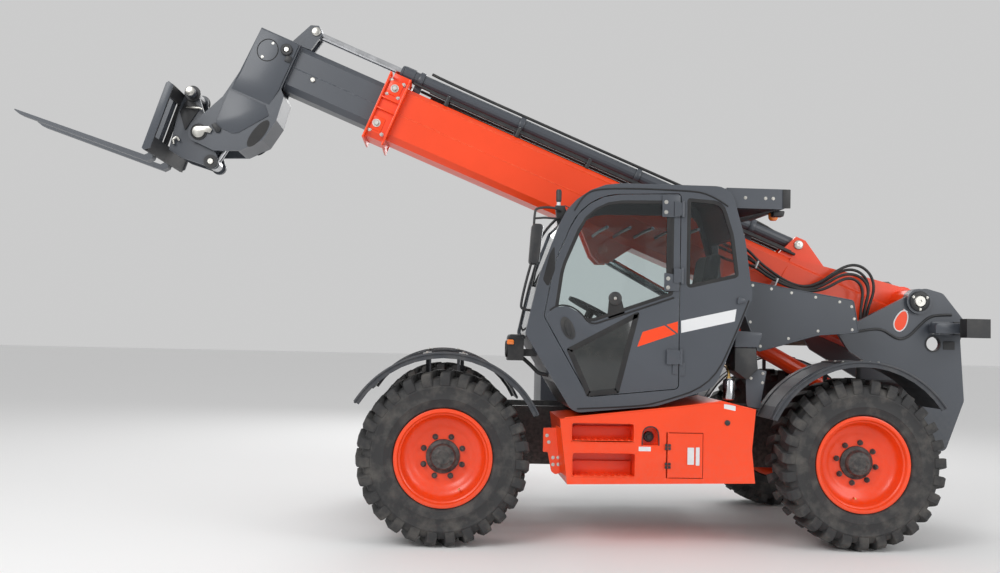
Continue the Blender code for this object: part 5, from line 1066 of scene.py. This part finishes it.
shade = add_node(weave_group, "HueSaturation", Value=ramp(weave_group, tone, 0.3, 0.7, 0.75, 1.2), Color=ins["Colour"])
weave_group.links.new(blend_colours(weave_group, cross, shade.outputs[0], (0.11, 0.112, 0.118, 1)), outs["Colour"])
weave_group.links.new(add_node(weave_group, "Math", {"operation": "MULTIPLY_ADD"}, i0=tone, i1=0.12,
                               i2=0.78).outputs[0], outs["Roughness"])
weave_group.links.new(cross, outs["Height"])
seat_weave = film_material("seat_weave", weave_group, {"Colour": (0.040, 0.042, 0.046, 1), "Threads": 260.0},
                           0.35, 0.001, Sheen_Weight=0.3)
for name, profile, y0, y1, node_name, channels in (
        ("seat_cushion_pad", [(1.245, 1.385), (1.237, 1.430), (1.262, 1.452), (1.500, 1.442), (1.695, 1.448),
                              (1.718, 1.420), (1.700, 1.385)], -0.868, -0.432, "seat_cushion", (1.34, 1.48, 1.62)),
        ("seat_back_pad", [(1.778, 1.405), (1.764, 1.440), (1.868, 2.020), (1.890, 2.048), (1.930, 2.045),
                           (1.940, 2.010), (1.850, 1.415), (1.828, 1.398)], -0.850, -0.450, "seat_back",
         (1.55, 1.71, 1.87))):
    pad = run_out([at(x, y0, z) for x, z in profile], (0, y1 - y0, 0), 0.020, 3)
    clear_selection()
    pad.select_set(True)
    bpy.context.view_layer.objects.active = pad
    even = pad.modifiers.new("even", "REMESH")
    even.mode, even.voxel_size = "VOXEL", 0.0065
    bpy.ops.object.modifier_apply(modifier="even")
    unswelled = [corner.co.copy() for corner in pad.data.vertices]
    filling = pad.modifiers.new("filling", "CLOTH")
    filling.settings.use_pressure = True
    filling.settings.uniform_pressure_force = 4.0
    filling.settings.effector_weights.gravity = 0.0
    for count in range(1, 21):
        scene.frame_set(count)
    bpy.ops.object.modifier_apply(modifier="filling")
    for corner, before in zip(pad.data.vertices, unswelled):
        swell = corner.co - before
        if swell.length > 0.014:
            corner.co = before + swell.normalized() * 0.014
    scene.frame_set(1)
    fine = pad.modifiers.new("fine", "SUBSURF")
    fine.levels = fine.render_levels = 1
    bpy.ops.object.modifier_apply(modifier="fine")
    middle = at(0, (y0 + y1) / 2, 0).y
    facing = [corner.normal.copy() for corner in pad.data.vertices]
    for corner, outward in zip(pad.data.vertices, facing):
        along = corner.co.x - origin_x if node_name == "seat_cushion" else corner.co.z + 0.0037
        near = min([abs(along - channel) for channel in channels if abs(corner.co.y - middle) < 0.145]
                   + [abs(abs(corner.co.y - middle) - 0.145)])
        corner.co -= outward * 0.0065 * math.exp(-(near / 0.008) ** 2)
    finished(pad, name, "chassis", seat_weave, 80)
    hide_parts(node_name)
finished(joined([panel([(1.27, 1.335, 0.02), (1.26, 1.357, 0.01), (1.74, 1.357, 0.01), (1.72, 1.335, 0.02)], -0.85,
                       -0.45, 0.006),
                 spun([(0, 0), (0.15, 0), (0.15, 0.05), (0.13, 0.07), (0.15, 0.09), (0.13, 0.115), (0.15, 0.14),
                       (0.13, 0.165), (0.15, 0.19), (0.15, 0.22), (0, 0.22)], at(1.48, -0.65, 1.113), 40, (0, 0, 1))]),
         "seat_pan_and_bellows", "chassis", plastic)

# ---------------------------------------------------------------- driver's controls
# Moulded dash pod, a multi-function lever on the side console, a column lever, the grey roof
# lining bars and the round inner lamp.
finished(joined([panel([(0.860, 1.430, 0.02), (0.845, 1.520, 0.03), (0.930, 1.560, 0.02), (0.990, 1.440, 0.02)], -0.86,
                       -0.70, 0.012),
                 tube([at(1.46, -0.355, 1.425), at(1.455, -0.355, 1.50), at(1.435, -0.358, 1.56)], 0.010),
                 spun([(0, 0), (0.020, 0.004), (0.026, 0.035), (0.022, 0.075), (0.010, 0.088), (0, 0.090)],
                      at(1.436, -0.358, 1.552), 24, (-0.3, 0, 1)),
                 tube([at(1.02, -0.66, 1.50), at(1.05, -0.76, 1.53), at(1.06, -0.84, 1.56)], 0.006),
                 spun([(0, 0), (0.011, 0.002), (0.012, 0.030), (0, 0.036)], at(1.06, -0.84, 1.555), 20,
                      (0.1, -0.8, 0.3))]), "controls", "chassis", plastic)
lining = [tube([at(1.10 + 0.16 * step, -0.98, 2.19), at(1.10 + 0.16 * step, -0.60, 2.195),
                at(1.10 + 0.16 * step, -0.31, 2.19)], 0.012) for step in range(5)]
finished(joined(lining), "roof_guard_bars", "chassis", slate)
finished(spun([(0, 0), (0.040, 0), (0.040, 0.004), (0.028, 0.010), (0, 0.012)], at(1.184, -0.300, 2.089), 32,
              (0, -1, 0)), "inner_lamp", "chassis", lamp_glass)

# ---------------------------------------------------------------- engine bay on the right
# The side-mounted engine's steel tray and lifting hood: louvred air inlet, louvred outlet panel and
# two rubber latches, with the hood's pieces lifting with it.
louvres = []
for row in range(8):
    z = 0.610 + 0.048 * row
    louvres.append(run_out([at(0.93, 1.0395, z), at(0.93, 1.0395, z + 0.034), at(0.93, 1.0500, z + 0.012),
                            at(0.93, 1.0500, z + 0.004)], (0.52, 0, 0), 0.002))
    louvres.append(run_out([at(1.52, 1.0395, z), at(1.52, 1.0395, z + 0.034), at(1.52, 1.0500, z + 0.012),
                            at(1.52, 1.0500, z + 0.004)], (0.46, 0, 0), 0.002))
finished(joined(louvres), "tray_louvres", "chassis", black_enamel)
vents = []
for row in range(4):
    z = 1.150 + 0.048 * row
    vents.append(run_out([at(1.00, 1.0395, z), at(1.00, 1.0395, z + 0.034), at(1.00, 1.0490, z + 0.012),
                          at(1.00, 1.0490, z + 0.004)], (0.90, 0, 0), 0.002))
finished(joined(vents), "hood_louvres", "hood", black_enamel)
finished(joined([panel([(x, 1.085, 0.006), (x, 1.150, 0.006), (x + 0.045, 1.150, 0.006), (x + 0.045, 1.085, 0.006)],
                       1.0395, 1.0560, 0.005) for x in (0.93, 1.925)]), "hood_latches", "hood", plastic)
finished(joined([edge_bead([(0.815, 0.535, 0.02), (0.815, 1.065, 0.02), (2.085, 1.065, 0.02), (2.085, 0.535, 0.02)],
                           1.0405, 0.004)]), "tray_hem", "chassis", slate)
finished(edge_bead([(0.815, 1.100, 0.02), (0.815, 1.420, 0.04), (2.085, 1.420, 0.04), (2.085, 1.100, 0.02)], 1.0400,
                   0.004), "hood_hem", "hood", slate)

# ---------------------------------------------------------------- exhaust, driveline and lift cylinder
# Browned exhaust with its band clamps, the shaft from gearbox to axles, the steering cylinders on the
# axles, and the lift cylinder's gland and oil pipe.
clamps = [spun([(0.0802, -0.012), (0.0850, -0.012), (0.0870, -0.008), (0.0870, 0.008), (0.0850, 0.012),
                (0.0802, 0.012)], at(x, 0.56, 1.47), 40, (1, 0, 0)) for x in (2.55, 2.85, 3.15)]
clamps += [run_out([at(x - 0.012, 0.548, 1.555), at(x + 0.012, 0.548, 1.555), at(x + 0.012, 0.548, 1.582),
                    at(x - 0.012, 0.548, 1.582)], (0, 0.024, 0), 0.002) for x in (2.55, 2.85, 3.15)]
finished(joined(clamps), "exhaust_clamps", "chassis", zinc)
shaft = [spun([(0, 0), (0.030, 0), (0.030, 2.10), (0, 2.10)], at(0.38, 0, 0.60), 24, (1, 0, 0))]
for x in (0.22, 0.36, 2.46, 2.60):
    shaft.append(spun([(0, 0), (0.048, 0), (0.052, 0.010), (0.040, 0.030), (0.044, 0.055), (0.030, 0.075), (0, 0.075)],
                      at(x, 0, 0.60), 24, (1, 0, 0)))
finished(joined(shaft), "prop_shaft", "chassis", black_enamel)
for x, tag in ((0.205, "front"), (2.675, "rear")):
    finished(spun([(0, 0), (0.034, 0), (0.034, 0.02), (0.030, 0.03), (0.030, 0.51), (0.034, 0.52), (0.034, 0.54),
                   (0, 0.54)], at(x, -0.27, 0.560), 32, (0, 1, 0)), f"steering_barrel_{tag}", "chassis", slate)
    finished(joined([spun([(0, 0), (0.016, 0), (0.016, 0.22), (0, 0.22)], at(x, side * 0.27, 0.560), 24, (0, side, 0))
                     for side in (-1, 1)]), f"steering_rod_{tag}", "chassis", chrome)
lift_foot, lift_eye = at(3.33, 0, 0.92), on_boom(2.32, 0, -0.605)
lift_way = (lift_eye - lift_foot).normalized()
finished(joined([spun([(0.0845, -0.03), (0.092, -0.03), (0.094, -0.024), (0.094, 0.010), (0.088, 0.018),
                       (0.0845, 0.018)], lift_foot + lift_way * 1.60, 40, lift_way),
                 tube([lift_foot + lift_way * r + Vector((0, h, 0)) for r, h in ((0.28, 0.070), (0.32, 0.105), (0.90, 0.105),
                                                                         (1.48, 0.105), (1.53, 0.080))], 0.010)]),
         "lift_gland_and_pipe", "lift_barrel_body", black_enamel)
